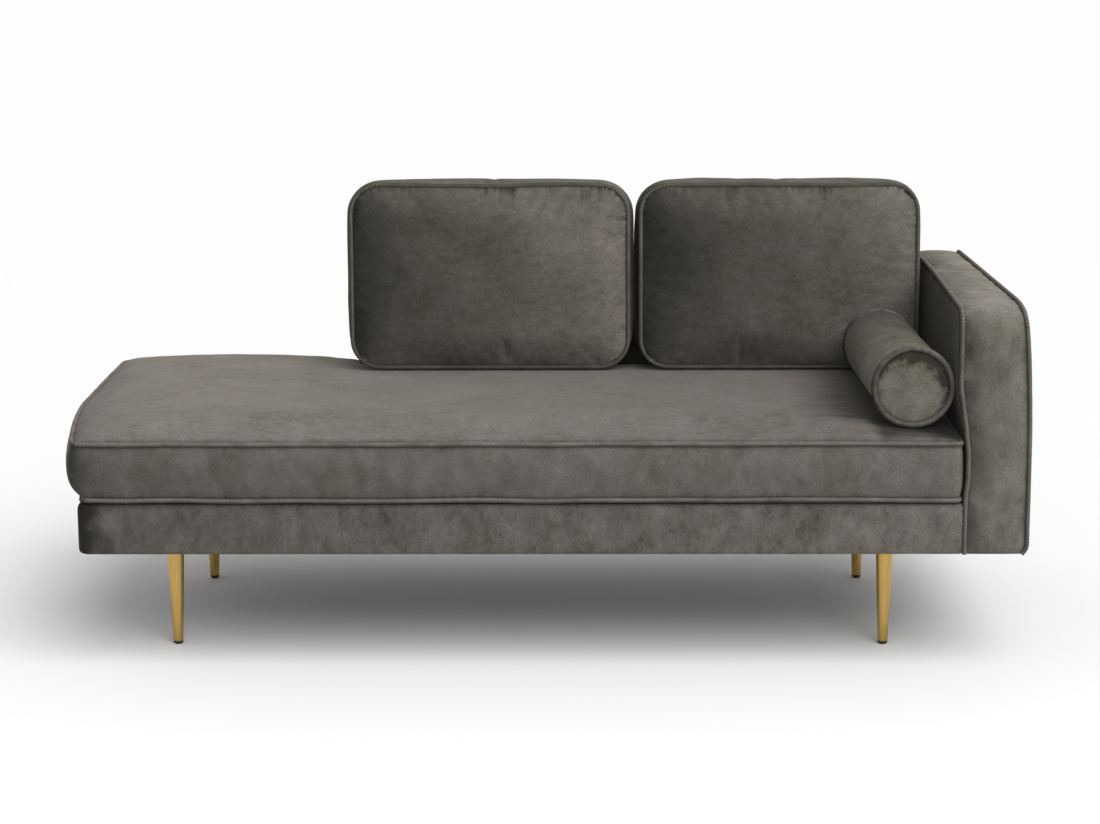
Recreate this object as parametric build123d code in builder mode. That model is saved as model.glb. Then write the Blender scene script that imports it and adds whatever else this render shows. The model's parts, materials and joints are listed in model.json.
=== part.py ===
"""Velvet chaise longue with one arm: base, legs, arm, backrest, seat and loose cushions, in millimetres."""

import math
import os

from build123d import *

# The floor is z = 0, +X runs towards the arm, -Y is the front, and the origin is the middle of the footprint.

# Overall sizes
overall_length = 1700.0
overall_depth = 728.0
leg_height = 206.0
base_height = 92.0
arm_height = 632.0
arm_width = 110.0

# Upholstery
cover_thickness = 2.0
border_thickness = 12.0
edge_foam_thickness = 14.0
arm_foam_thickness = 15.0
backrest_foam_thickness = 18.0
upholstery_radius = 28.0
border_radius = 7.0
border_corner_radius = 22.0
welt_diameter = 9.5
welt_depth = 2.0
welt_sides = 12
soft_clearance = 0.3

# Timber
rail_thickness = 22.0
hardboard_thickness = 3.0
rail_hem = 2.0
cross_rail_height = 60.0
cross_rail_count = 3
bearer_width = 100.0
bearer_thickness = 20.0
corner_block_leg = 60.0
arm_post_depth = 45.0
arm_top_rail_height = 25.0
arm_bottom_rail_height = 84.0
backrest_post_width = 45.0
backrest_post_depth = 32.0
backrest_top_rail_height = 60.0
backrest_low_rail_height = 40.0
backrest_length = 1078.0

# Seat platform
deck_thickness = 3.0
strap_thickness = 1.5
strap_width = 60.0
straps_per_bay = 3
long_strap_count = 3
dust_cover_thickness = 1.0

# Legs
leg_top_diameter = 33.0
leg_foot_diameter = 17.4
leg_wall = 1.5
leg_plug_thickness = 4.0
leg_side_inset = 146.0
leg_arm_inset = 116.0
leg_end_inset = 148.0
glide_height = 6.0
glide_stem_length = 15.0
glide_edge_radius = 4.0
glide_clearance = 0.1

# Fasteners
bolt_diameter = 8.0
bolt_hole_clearance = 0.4
bolt_head_across = 13.0
bolt_head_height = 5.5
arm_bolt_length = 75.0
arm_bolt_clearance = 8.0
arm_bolt_count = 4
insert_diameter = 12.0
insert_length = 18.0
backrest_screw_length = 48.0
backrest_screw_spacing = 34.0
leg_stud_length = 26.0
tee_flange_diameter = 22.0
tee_flange_thickness = 1.5
tee_barrel_diameter = 10.0

# Seat cushion
seat_thickness = 110.0
seat_crown = 35.0
seat_bulge = 4.0
seat_overhang = 52.0
seat_front_proud = 8.0
seat_drawn_in = 42.0
seat_bow_length = 330.0
seat_bow_radius = 900.0
seat_corner_radius = 34.0
seat_notch_radius = 14.0
seat_tuck_side = 16.0
seat_tuck_front = 3.0
seat_bulge_height = 72.0
seat_side_gap = 3.4
seat_back_gap = 4.0
fibre_wrap = 14.0

# Back cushions and bolster
back_width = 534.0
back_height = 347.0
back_thickness = 126.0
back_front_crown = 26.0
back_rear_crown = 23.0
back_bulge = 10.0
back_corner_radius = 54.0
back_lean = 2.0
back_side_clearance = 0.5
back_seat_clearance = 0.5
back_fibre_wrap = 20.0
bolster_diameter = 138.0
bolster_length = 405.0
bolster_arm_gap = 18.0
bolster_sink = 17.1
bolster_end_dome = 4.0
bolster_waist = 1.5
bolster_fibre_wrap = 12.0

# A crown rises from its welt in these shares, and is drawn in by these insets as it rises.
# At the arm end the seat's crown runs out lower and slower, and under the back cushions it is steeper.
crown_shares = (0.0, 0.22, 0.55, 0.8, 1.0)
seat_crown_insets = (2.0, 14.0, 40.0, 75.0, 120.0)
seat_arm_insets = (2.0, 50.0, 140.0, 200.0, 260.0)
seat_rear_insets = (2.0, 14.0, 30.0, 50.0, 80.0)
back_crown_insets = (2.0, 14.0, 38.0, 66.0, 95.0)

# Places worked out from the sizes above
welt_radius = welt_diameter / 2
welt_proud = welt_radius - welt_depth
welt_notch = welt_depth + welt_radius + soft_clearance
left_end = -overall_length / 2
right_end = overall_length / 2
front_end = -overall_depth / 2
back_end = overall_depth / 2
body_front = front_end + seat_front_proud
body_rear = back_end - welt_proud
arm_outer = right_end - welt_proud
arm_inner = arm_outer - arm_width
base_left = left_end + seat_overhang
base_right = arm_inner
base_bottom = leg_height
base_top = base_bottom + base_height
rail_bottom = base_bottom + rail_hem
deck_bottom = base_top - deck_thickness
end_rail_top = deck_bottom - strap_thickness
rail_top = end_rail_top - strap_thickness
dust_bottom = rail_bottom - dust_cover_thickness
frame_left = base_left + border_thickness
frame_front = body_front + border_thickness
frame_rear = body_rear - border_thickness
inner_left = frame_left + rail_thickness
inner_right = base_right - rail_thickness
inner_front = frame_front + rail_thickness
inner_rear = frame_rear - rail_thickness
padding = cover_thickness + edge_foam_thickness
arm_lining = cover_thickness + arm_foam_thickness
arm_frame_inner = arm_inner + arm_lining + hardboard_thickness
arm_frame_outer = arm_outer - arm_lining - hardboard_thickness
arm_frame_top = arm_height - padding
border_right = arm_inner - welt_proud - soft_clearance
backrest_right = border_right
backrest_left = backrest_right - backrest_length
backrest_frame_left = backrest_left + padding
post_front = inner_rear - backrest_post_depth
backrest_board_front = post_front - hardboard_thickness
backrest_front = backrest_board_front - backrest_foam_thickness - cover_thickness
bolt_hole_radius = (bolt_diameter + bolt_hole_clearance) / 2
leg_xs = {"left": base_left + leg_side_inset, "right": base_right - leg_arm_inset}
leg_ys = {"front": body_front + leg_end_inset, "rear": body_rear - leg_end_inset}
post_xs = (
    backrest_frame_left + backrest_post_width / 2,
    (backrest_frame_left + inner_right) / 2,
    inner_right - backrest_post_width / 2,
)

os.makedirs("parts", exist_ok=True)


def save(piece, name):
    """Name a finished piece and write its file."""
    piece.part.label = name
    export_step(piece.part, f"parts/{name}.step")


def board(x_limits, y_limits, z_limits, mode=Mode.ADD):
    """A squared block between two limits along each axis."""
    limits = (x_limits, y_limits, z_limits)
    with Locations(tuple(sum(pair) / 2 for pair in limits)):
        Box(*(high - low for low, high in limits), mode=mode)


def rod(start, direction, radius, length, mode=Mode.ADD):
    """A round bar from a start point along a direction."""
    with Locations(Plane(origin=start, z_dir=direction)):
        Cylinder(radius, length, align=(Align.CENTER, Align.CENTER, Align.MIN), mode=mode)


def hex_bolt(start, direction, length):
    """A bolt whose head bears on the start point and whose shank runs along the direction."""
    rod(start, direction, bolt_diameter / 2, length)
    head_plane = Plane(origin=start, z_dir=direction)
    with BuildSketch(head_plane) as head:
        RegularPolygon(bolt_head_across / 2, 6, major_radius=False)
    extrude(head.sketch, amount=-bolt_head_height)


def spread(low, high, count):
    """Middles of equal shares of the stretch from low to high."""
    return [low + (high - low) * (index + 0.5) / count for index in range(count)]


# Base frame: four rails, cross rails, leg bearers and glued corner blocks
with BuildPart() as front_rail:
    board((frame_left, base_right), (frame_front, inner_front), (rail_bottom, rail_top))
save(front_rail, "front_rail")

screw_heights = [
    (rail_bottom + rail_top) / 2 + side * backrest_screw_spacing / 2 for side in (-1, 1)
]
screw_points = [(x, post_front, z) for x in post_xs for z in screw_heights]
with BuildPart() as back_rail:
    board((frame_left, base_right), (inner_rear, frame_rear), (rail_bottom, rail_top))
    for point in screw_points:
        rod(point, (0, 1, 0), bolt_hole_radius, backrest_screw_length + 1, Mode.SUBTRACT)
save(back_rail, "back_rail")

with BuildPart() as left_end_rail:
    board((frame_left, inner_left), (inner_front, inner_rear), (rail_bottom, end_rail_top))
save(left_end_rail, "left_end_rail")

bolt_height = (rail_bottom + rail_top) / 2
bolt_first = inner_front + corner_block_leg + arm_bolt_clearance
bolt_last = inner_rear - corner_block_leg - arm_bolt_clearance
bolt_step = (bolt_last - bolt_first) / (arm_bolt_count - 1)
bolt_ys = [bolt_first + bolt_step * index for index in range(arm_bolt_count)]
bolt_points = [(inner_right, y, bolt_height) for y in bolt_ys]
with BuildPart() as right_end_rail:
    board((inner_right, base_right), (inner_front, inner_rear), (rail_bottom, end_rail_top))
    for point in bolt_points:
        rod(point, (1, 0, 0), bolt_hole_radius, rail_thickness, Mode.SUBTRACT)
save(right_end_rail, "right_end_rail")

bearer_inner_left = leg_xs["left"] + bearer_width / 2
bearer_inner_right = leg_xs["right"] - bearer_width / 2
with BuildPart() as cross_rails:
    for middle in spread(bearer_inner_left, bearer_inner_right, cross_rail_count):
        board(
            (middle - rail_thickness / 2, middle + rail_thickness / 2),
            (inner_front, inner_rear),
            (rail_bottom, rail_bottom + cross_rail_height),
        )
    for point in screw_points:
        board(
            (point[0] - backrest_post_width / 2, point[0] + backrest_post_width / 2),
            (post_front - bolt_head_height, inner_rear),
            (rail_bottom, rail_top),
            Mode.SUBTRACT,
        )
save(cross_rails, "cross_rails")

leg_points = {
    f"{row}_{side}": (x, y) for row, y in leg_ys.items() for side, x in leg_xs.items()
}
bearer_top = rail_bottom + bearer_thickness
with BuildPart() as leg_bearers:
    for x in leg_xs.values():
        board(
            (x - bearer_width / 2, x + bearer_width / 2),
            (inner_front, inner_rear),
            (rail_bottom, bearer_top),
        )
    for x, y in leg_points.values():
        rod((x, y, rail_bottom), (0, 0, 1), tee_barrel_diameter / 2, bearer_thickness, Mode.SUBTRACT)
save(leg_bearers, "leg_bearers")

with BuildPart() as corner_blocks:
    for x, y, x_side, y_side in (
        (inner_left, inner_front, 1, 1),
        (inner_left, inner_rear, 1, -1),
        (inner_right, inner_front, -1, 1),
    ):
        with BuildSketch(Plane.XY.offset(bearer_top)):
            with BuildLine():
                Polyline(
                    (x, y),
                    (x + x_side * corner_block_leg, y),
                    (x, y + y_side * corner_block_leg),
                    close=True,
                )
            make_face()
        extrude(amount=rail_top - bearer_top)
save(corner_blocks, "corner_blocks")

# Seat platform: webbing from front to back in the bays between the backrest posts, then lengthwise
post_half = backrest_post_width / 2
bays = (
    (inner_left, post_xs[0] - post_half),
    (post_xs[0] + post_half, post_xs[1] - post_half),
    (post_xs[1] + post_half, post_xs[2] - post_half),
)
with BuildPart() as seat_webbing:
    for low, high in bays:
        for x in spread(low, high, straps_per_bay):
            board(
                (x - strap_width / 2, x + strap_width / 2),
                (frame_front, frame_rear),
                (rail_top, end_rail_top),
            )
save(seat_webbing, "seat_webbing")

with BuildPart() as long_webbing:
    for y in spread(inner_front, post_front, long_strap_count):
        board(
            (frame_left, base_right),
            (y - strap_width / 2, y + strap_width / 2),
            (end_rail_top, deck_bottom),
        )
save(long_webbing, "long_webbing")

with BuildPart() as deck_cloth:
    board((frame_left, base_right), (frame_front, backrest_front), (deck_bottom, base_top))
    board((frame_left, backrest_left), (backrest_front, frame_rear), (deck_bottom, base_top))
save(deck_cloth, "deck_cloth")

with BuildPart() as dust_cover:
    board((frame_left, arm_frame_outer), (frame_front, frame_rear), (dust_bottom, rail_bottom))
    for x, y in leg_points.values():
        rod((x, y, dust_bottom), (0, 0, 1), tee_barrel_diameter / 2, dust_cover_thickness, Mode.SUBTRACT)
save(dust_cover, "dust_cover")


# Upholstered border: the front and back strips turn the left corners, the left strip closes the end
def border_strip(outer_y, inner_y):
    """Outline in plan of a strip along X with a rounded left corner, between its outer and inner faces."""
    inward = 1 if inner_y > outer_y else -1
    corner_y = outer_y + inward * border_corner_radius
    Line((border_right, outer_y), (base_left + border_corner_radius, outer_y))
    RadiusArc(
        (base_left + border_corner_radius, outer_y),
        (base_left, corner_y),
        inward * border_corner_radius,
    )
    Polyline(
        (base_left, corner_y),
        (frame_left, corner_y),
        (frame_left, inner_y),
        (border_right, inner_y),
        (border_right, outer_y),
    )


def round_hem(piece):
    """Round the outer bottom edge of a border strip, where the cover turns under."""
    bottom_edges = piece.faces().sort_by(Axis.Z)[0].outer_wire().edges()
    outer_edges = [
        edge
        for edge in bottom_edges
        if min(
            abs(edge.center().Y - body_front),
            abs(edge.center().Y - body_rear),
            abs(edge.center().X - base_left),
        )
        < border_radius
        and edge.length > border_thickness + 1
    ]
    fillet(outer_edges, border_radius)


with BuildPart() as front_border:
    with BuildSketch(Plane.XY.offset(base_bottom)):
        with BuildLine():
            border_strip(body_front, frame_front)
        make_face()
    extrude(amount=base_height)
    round_hem(front_border)
save(front_border, "front_border")

with BuildPart() as back_border:
    with BuildSketch(Plane.XY.offset(base_bottom)):
        with BuildLine():
            border_strip(body_rear, frame_rear)
        make_face()
    extrude(amount=base_height)
    round_hem(back_border)
save(back_border, "back_border")

with BuildPart() as left_border:
    board(
        (base_left, frame_left),
        (body_front + border_corner_radius, body_rear - border_corner_radius),
        (base_bottom, base_top),
    )
    round_hem(left_border)
save(left_border, "left_border")

# Legs: tapered tubes closed by a plug with a stud, on black glides
foot_radius = leg_foot_diameter / 2
top_radius = leg_top_diameter / 2
leg_top = dust_bottom
taper = (top_radius - foot_radius) / (leg_top - glide_height)
plug_bottom = leg_top - leg_plug_thickness
stem_radius = foot_radius - leg_wall - glide_clearance
for place, (x, y) in leg_points.items():
    leg_plane = Plane(origin=(x, y, 0), x_dir=(1, 0, 0), z_dir=(0, -1, 0))
    leg_axis = Axis((x, y, 0), (0, 0, 1))
    with BuildPart() as leg:
        with BuildSketch(leg_plane):
            with BuildLine():
                Polyline(
                    (foot_radius - leg_wall, glide_height),
                    (foot_radius, glide_height),
                    (top_radius, leg_top),
                    (bolt_diameter / 2, leg_top),
                    (bolt_diameter / 2, leg_top + leg_stud_length),
                    (0, leg_top + leg_stud_length),
                    (0, plug_bottom),
                    (top_radius - taper * leg_plug_thickness - leg_wall, plug_bottom),
                    close=True,
                )
            make_face()
        revolve(axis=leg_axis)
    save(leg, f"leg_{place}")

    with BuildPart() as glide:
        with BuildSketch(leg_plane):
            with BuildLine():
                Line((0, 0), (foot_radius - glide_edge_radius, 0))
                RadiusArc(
                    (foot_radius - glide_edge_radius, 0),
                    (foot_radius, glide_edge_radius),
                    -glide_edge_radius,
                )
                Polyline(
                    (foot_radius, glide_edge_radius),
                    (foot_radius, glide_height),
                    (stem_radius, glide_height),
                    (stem_radius, glide_height + glide_stem_length),
                    (0, glide_height + glide_stem_length),
                    (0, 0),
                )
            make_face()
        revolve(axis=leg_axis)
    save(glide, f"glide_{place}")

with BuildPart() as leg_tee_nuts:
    for x, y in leg_points.values():
        rod((x, y, bearer_top), (0, 0, 1), tee_flange_diameter / 2, tee_flange_thickness)
        rod((x, y, rail_bottom), (0, 0, 1), tee_barrel_diameter / 2, bearer_thickness)
        rod(
            (x, y, rail_bottom),
            (0, 0, 1),
            bolt_hole_radius,
            bearer_thickness + tee_flange_thickness,
            Mode.SUBTRACT,
        )
save(leg_tee_nuts, "leg_tee_nuts")


# Arm: a timber box lined with hardboard, padded, covered and welted
def arm_outline(inset, foot):
    """Side outline of the arm, drawn in by an inset, with rounded top corners and a straight foot."""
    front = body_front + inset
    rear = body_rear - inset
    FilletPolyline(
        (front, foot),
        (front, arm_height - inset),
        (rear, arm_height - inset),
        (rear, foot),
        radius=upholstery_radius - inset,
    )


arm_front_frame = body_front + padding
arm_rear_frame = body_rear - padding
arm_xs = (arm_frame_inner, arm_frame_outer)
bottom_rail_top = rail_bottom + arm_bottom_rail_height
top_rail_bottom = arm_frame_top - arm_top_rail_height
with BuildPart() as arm_posts:
    board(arm_xs, (arm_front_frame, arm_front_frame + arm_post_depth), (bottom_rail_top, top_rail_bottom))
    board(arm_xs, (arm_rear_frame - arm_post_depth, arm_rear_frame), (bottom_rail_top, top_rail_bottom))
save(arm_posts, "arm_posts")

with BuildPart() as arm_rails:
    board(arm_xs, (arm_front_frame, arm_rear_frame), (top_rail_bottom, arm_frame_top))
    board(arm_xs, (arm_front_frame, arm_rear_frame), (rail_bottom, bottom_rail_top))
    for point in bolt_points:
        rod(point, (1, 0, 0), bolt_hole_radius, arm_bolt_length + 2, Mode.SUBTRACT)
        insert_start = (arm_frame_inner, point[1], point[2])
        rod(insert_start, (1, 0, 0), insert_diameter / 2, insert_length, Mode.SUBTRACT)
save(arm_rails, "arm_rails")

with BuildPart() as arm_spacer:
    board(
        (arm_inner, arm_inner + arm_lining),
        (body_front + welt_notch, body_rear - welt_notch),
        (rail_bottom, base_top),
    )
    for point in bolt_points:
        rod(point, (1, 0, 0), bolt_hole_radius, arm_bolt_length, Mode.SUBTRACT)
save(arm_spacer, "arm_spacer")

with BuildPart() as arm_inner_board:
    board(
        (arm_inner + arm_lining, arm_frame_inner),
        (arm_front_frame, arm_rear_frame),
        (rail_bottom, arm_frame_top),
    )
    for point in bolt_points:
        rod(point, (1, 0, 0), bolt_hole_radius, arm_bolt_length, Mode.SUBTRACT)
save(arm_inner_board, "arm_inner_board")

with BuildPart() as arm_outer_board:
    board(
        (arm_frame_outer, arm_outer - arm_lining),
        (arm_front_frame, arm_rear_frame),
        (rail_bottom, arm_frame_top),
    )
save(arm_outer_board, "arm_outer_board")

with BuildPart() as arm_edge_foam:
    with BuildSketch(Plane.YZ.offset(arm_inner + arm_lining)):
        with BuildLine():
            arm_outline(cover_thickness, rail_bottom)
            Line((body_front + cover_thickness, rail_bottom), (body_rear - cover_thickness, rail_bottom))
        make_face()
        with BuildLine():
            Polyline(
                (arm_front_frame, rail_bottom),
                (arm_front_frame, arm_frame_top),
                (arm_rear_frame, arm_frame_top),
                (arm_rear_frame, rail_bottom),
                close=True,
            )
        make_face(mode=Mode.SUBTRACT)
    extrude(amount=arm_width - 2 * arm_lining)
    split(bisect_by=Plane.XY.offset(arm_height - upholstery_radius), keep=Keep.BOTH)
save(arm_edge_foam, "arm_edge_foam")

with BuildPart() as arm_gusset:
    with BuildSketch(Plane.YZ.offset(arm_inner + welt_notch)):
        with BuildLine():
            arm_outline(0, base_bottom)
            Line((body_front, base_bottom), (body_rear, base_bottom))
        make_face()
        with BuildLine():
            arm_outline(cover_thickness, base_bottom)
            Line((body_front + cover_thickness, base_bottom), (body_rear - cover_thickness, base_bottom))
        make_face(mode=Mode.SUBTRACT)
    extrude(amount=arm_width - 2 * welt_notch)
save(arm_gusset, "arm_gusset")


def arm_side(start, thickness, foot, name):
    """One sheet of an arm's side, inside the welt, from a start plane outwards."""
    with BuildPart() as sheet:
        with BuildSketch(Plane.YZ.offset(start)):
            with BuildLine():
                arm_outline(welt_notch, foot)
                Line((body_front + welt_notch, foot), (body_rear - welt_notch, foot))
            make_face()
        extrude(amount=thickness)
    save(sheet, name)


arm_side(arm_inner, cover_thickness, base_top, "arm_inner_cover")
arm_side(arm_inner + cover_thickness, arm_foam_thickness, base_top, "arm_inner_foam")
arm_side(arm_outer - arm_lining, arm_foam_thickness, rail_bottom, "arm_outer_foam")
arm_side(arm_outer - cover_thickness, cover_thickness, base_bottom, "arm_outer_cover")

for name, x in (("arm_inner_welt", arm_inner + welt_depth), ("arm_outer_welt", arm_outer - welt_depth)):
    with BuildPart() as arm_welt:
        with BuildLine(Plane.YZ.offset(x)) as arm_welt_path:
            arm_outline(welt_depth, base_bottom)
        with BuildSketch(Plane(origin=arm_welt_path.line @ 0, z_dir=arm_welt_path.line % 0)):
            RegularPolygon(welt_radius, welt_sides)
        sweep(path=arm_welt_path.line)
    save(arm_welt, name)

with BuildPart() as arm_bolts:
    for point in bolt_points:
        hex_bolt(point, (1, 0, 0), arm_bolt_length)
save(arm_bolts, "arm_bolts")

with BuildPart() as arm_insert_nuts:
    for point in bolt_points:
        insert_start = (arm_frame_inner, point[1], point[2])
        rod(insert_start, (1, 0, 0), insert_diameter / 2, insert_length)
        rod(insert_start, (1, 0, 0), bolt_hole_radius, insert_length, Mode.SUBTRACT)
save(arm_insert_nuts, "arm_insert_nuts")

# Backrest: posts in front of the back rail, rails behind them, board, foam and cover
with BuildPart() as backrest_posts:
    for x in post_xs:
        board(
            (x - post_half, x + post_half),
            (post_front, inner_rear),
            (bearer_top, arm_frame_top),
        )
    for point in screw_points:
        rod(point, (0, 1, 0), bolt_hole_radius, backrest_post_depth, Mode.SUBTRACT)
save(backrest_posts, "backrest_posts")

backrest_xs = (backrest_frame_left, backrest_right)
with BuildPart() as backrest_rails:
    for low, high in (
        (base_top, base_top + backrest_low_rail_height),
        (arm_frame_top - backrest_top_rail_height, arm_frame_top),
    ):
        board(backrest_xs, (inner_rear, frame_rear), (low, high))
save(backrest_rails, "backrest_rails")

with BuildPart() as backrest_board:
    board(backrest_xs, (backrest_board_front, post_front), (base_top, arm_frame_top))
save(backrest_board, "backrest_board")


def backrest_outline(inset):
    """Front outline of the backrest in X and Z: up the left end, round its corner and along to the arm."""
    FilletPolyline(
        (backrest_left + inset, base_top),
        (backrest_left + inset, arm_height - inset),
        (backrest_right, arm_height - inset),
        radius=upholstery_radius - inset,
    )


def backrest_sheet(front, rear, name):
    """One flat layer of the backrest inside its edge strip, between a front and a rear plane."""
    with BuildPart() as sheet:
        with BuildSketch(Plane.XZ.offset(-front)):
            with BuildLine():
                backrest_outline(cover_thickness)
                Polyline(
                    (backrest_right, arm_height - cover_thickness),
                    (backrest_right, base_top),
                    (backrest_left + cover_thickness, base_top),
                )
            make_face()
        extrude(amount=front - rear)
    save(sheet, name)


backrest_sheet(backrest_front, backrest_front + cover_thickness, "backrest_front_cover")
backrest_sheet(backrest_front + cover_thickness, backrest_board_front, "backrest_front_foam")
backrest_sheet(frame_rear, body_rear, "backrest_back_panel")

with BuildPart() as backrest_edge_foam:
    with BuildSketch(Plane.XZ.offset(-backrest_board_front)):
        with BuildLine():
            backrest_outline(cover_thickness)
            Polyline(
                (backrest_right, arm_height - cover_thickness),
                (backrest_right, arm_frame_top),
                (backrest_frame_left, arm_frame_top),
                (backrest_frame_left, base_top),
                (backrest_left + cover_thickness, base_top),
            )
        make_face()
    extrude(amount=backrest_board_front - frame_rear)
    split(bisect_by=Plane.XY.offset(arm_height - upholstery_radius), keep=Keep.BOTH)
save(backrest_edge_foam, "backrest_edge_foam")

with BuildPart() as backrest_edge_cover:
    with BuildSketch(Plane.XZ.offset(-backrest_front)):
        with BuildLine():
            backrest_outline(0)
            Line((backrest_right, arm_height), (backrest_right, arm_height - cover_thickness))
            backrest_outline(cover_thickness)
            Line((backrest_left + cover_thickness, base_top), (backrest_left, base_top))
        make_face()
    extrude(amount=backrest_front - body_rear)
save(backrest_edge_cover, "backrest_edge_cover")

with BuildPart() as backrest_screws:
    for point in screw_points:
        hex_bolt(point, (0, 1, 0), backrest_screw_length)
save(backrest_screws, "backrest_screws")

# Seat cushion: an L in plan, boxed between two welted seams, tucked in below and crowned above
seat_front = front_end + seat_bulge
seat_left = left_end + seat_bulge
seat_right = arm_inner - seat_side_gap
seat_rear = backrest_front - seat_back_gap - welt_proud
notch_left = backrest_left - seat_back_gap - welt_proud
chaise_rear = body_rear - seat_bulge
seat_bottom = base_top
lower_seam = seat_bottom + welt_radius
upper_seam = lower_seam + seat_thickness - welt_diameter
neck = welt_radius + soft_clearance
seat_top = upper_seam + seat_crown


def seat_corners(end, long_side, arm_end, rear, notch):
    """Corners of the seat in plan, drawn in at the free end, the long sides, the arm and the backrest."""
    left = seat_left + end
    right = seat_right - arm_end
    return (
        (left + seat_drawn_in, seat_front + long_side),
        (right, seat_front + long_side),
        (right, seat_rear - rear),
        (notch_left - notch, seat_rear - rear),
        (notch_left - notch, chaise_rear - long_side),
        (left, chaise_rear - long_side),
        (left, seat_front + seat_bow_length),
    )


seat_radii = [seat_corner_radius] * 6 + [seat_bow_radius]
seat_radii[3] = seat_notch_radius


def seat_loop(insets):
    """Closed outline of the seat with rounded corners and a slightly bowed left end."""
    FilletPolyline(*seat_corners(*insets), radius=seat_radii, close=True)


def seat_face(height, insets):
    """Filled outline of the seat at a height."""
    with BuildSketch(Plane.XY.offset(height)) as outline:
        with BuildLine():
            seat_loop(insets)
        make_face()
    return outline.sketch.faces()[0]


lower_inset = (seat_tuck_side, seat_tuck_front, 0, 0, 0)
upper_inset = (0, 0, 0, 0, 0)
bulge_inset = (-seat_bulge, -seat_bulge, 0, 0, 0)


def crown_rises(crown):
    """Heights above a seam at which the sections of a crown lie."""
    return [neck + share * (crown - neck) for share in crown_shares]


def drawn_in(insets, amount):
    """Insets with the same amount added all round."""
    return tuple(inset + amount for inset in insets)


core_bottom = seat_bottom + fibre_wrap
core_inset = drawn_in(lower_inset, fibre_wrap + welt_notch)
with BuildPart() as seat_cushion:
    extrude(seat_face(seat_bottom, drawn_in(lower_inset, welt_notch)), amount=2 * welt_radius + soft_clearance)
    loft(
        [
            seat_face(lower_seam + neck, lower_inset),
            seat_face(seat_bottom + seat_bulge_height, bulge_inset),
            seat_face(upper_seam - neck, upper_inset),
        ]
    )
    extrude(seat_face(upper_seam - neck, drawn_in(upper_inset, welt_notch)), amount=2 * neck)
    loft(
        [
            seat_face(upper_seam + rise, (inset, inset, arm_inset, rear_inset, inset))
            for rise, inset, arm_inset, rear_inset in zip(
                crown_rises(seat_crown), seat_crown_insets, seat_arm_insets, seat_rear_insets
            )
        ]
    )
    extrude(seat_face(core_bottom, core_inset), amount=upper_seam - core_bottom, mode=Mode.SUBTRACT)
save(seat_cushion, "seat_cushion")

with BuildPart() as seat_foam:
    extrude(
        seat_face(core_bottom, drawn_in(core_inset, soft_clearance)),
        amount=upper_seam - core_bottom - soft_clearance,
    )
save(seat_foam, "seat_foam")

for name, height, insets in (
    ("seat_bottom_welt", lower_seam, lower_inset),
    ("seat_top_welt", upper_seam, upper_inset),
):
    with BuildPart() as seat_welt:
        with BuildLine(Plane.XY.offset(height)) as seat_welt_path:
            seat_loop(drawn_in(insets, welt_depth))
        with BuildSketch(Plane(origin=seat_welt_path.line @ 0, z_dir=seat_welt_path.line % 0)):
            RegularPolygon(welt_radius, welt_sides)
        sweep(path=seat_welt_path.line)
    save(seat_welt, name)

# Back cushions: boxed, crowned on both faces, leaning on the backrest and standing on the seat
lean = math.radians(back_lean)
flat_top = back_height - back_crown_insets[-1]
back_reach = flat_top * math.sin(lean) + (back_thickness + back_rear_crown) * math.cos(lean)
back_seam_y = backrest_front - soft_clearance - back_reach
back_seam_z = seat_top + welt_proud + back_seat_clearance
back_outer_width = back_width + 2 * max(back_bulge, welt_proud)
right_middle = border_right - back_side_clearance - back_outer_width / 2
left_middle = right_middle - back_outer_width - back_side_clearance
back_middles = {"right": right_middle, "left": left_middle}


def back_plane(middle, forward):
    """Plane of a back cushion at a distance in front of its front seam, with its foot on the X axis."""
    seam = Plane(
        origin=(middle, back_seam_y, back_seam_z),
        x_dir=(1, 0, 0),
        z_dir=(0, -math.cos(lean), math.sin(lean)),
    )
    return seam.offset(forward)


def back_face(middle, forward, inset):
    """Filled outline of a back cushion, drawn in by an inset, or let out at all sides but its foot."""
    foot = max(inset, 0)
    height = back_height - inset - foot
    with BuildSketch(back_plane(middle, forward)) as outline:
        with Locations((0, foot + height / 2)):
            RectangleRounded(back_width - 2 * inset, height, back_corner_radius)
    return outline.sketch.faces()[0]


for side, middle in back_middles.items():
    with BuildPart() as back_cushion:
        loft(
            [
                back_face(middle, -neck, 0),
                back_face(middle, -back_thickness / 2, -back_bulge),
                back_face(middle, neck - back_thickness, 0),
            ]
        )
        for seam in (0, -back_thickness):
            extrude(back_face(middle, seam - neck, welt_notch), amount=2 * neck)
        front_rises = crown_rises(back_front_crown)
        loft([back_face(middle, rise, inset) for rise, inset in zip(front_rises, back_crown_insets)])
        rear_rises = [back_thickness + rise for rise in crown_rises(back_rear_crown)]
        loft([back_face(middle, -rise, inset) for rise, inset in zip(rear_rises, back_crown_insets)])
        extrude(
            back_face(middle, -back_fibre_wrap, back_fibre_wrap),
            amount=2 * back_fibre_wrap - back_thickness,
            mode=Mode.SUBTRACT,
        )
    save(back_cushion, f"{side}_back_cushion")

    with BuildPart() as back_core:
        extrude(
            back_face(middle, -back_fibre_wrap - soft_clearance, back_fibre_wrap + soft_clearance),
            amount=2 * (back_fibre_wrap + soft_clearance) - back_thickness,
        )
    save(back_core, f"{side}_back_core")

    with BuildPart() as back_welts:
        for seam in (0, -back_thickness):
            loop = back_face(middle, seam, welt_depth).outer_wire()
            with BuildSketch(Plane(origin=loop @ 0, z_dir=loop % 0)):
                RegularPolygon(welt_radius, welt_sides)
            sweep(path=loop)
    save(back_welts, f"{side}_back_welts")

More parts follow.
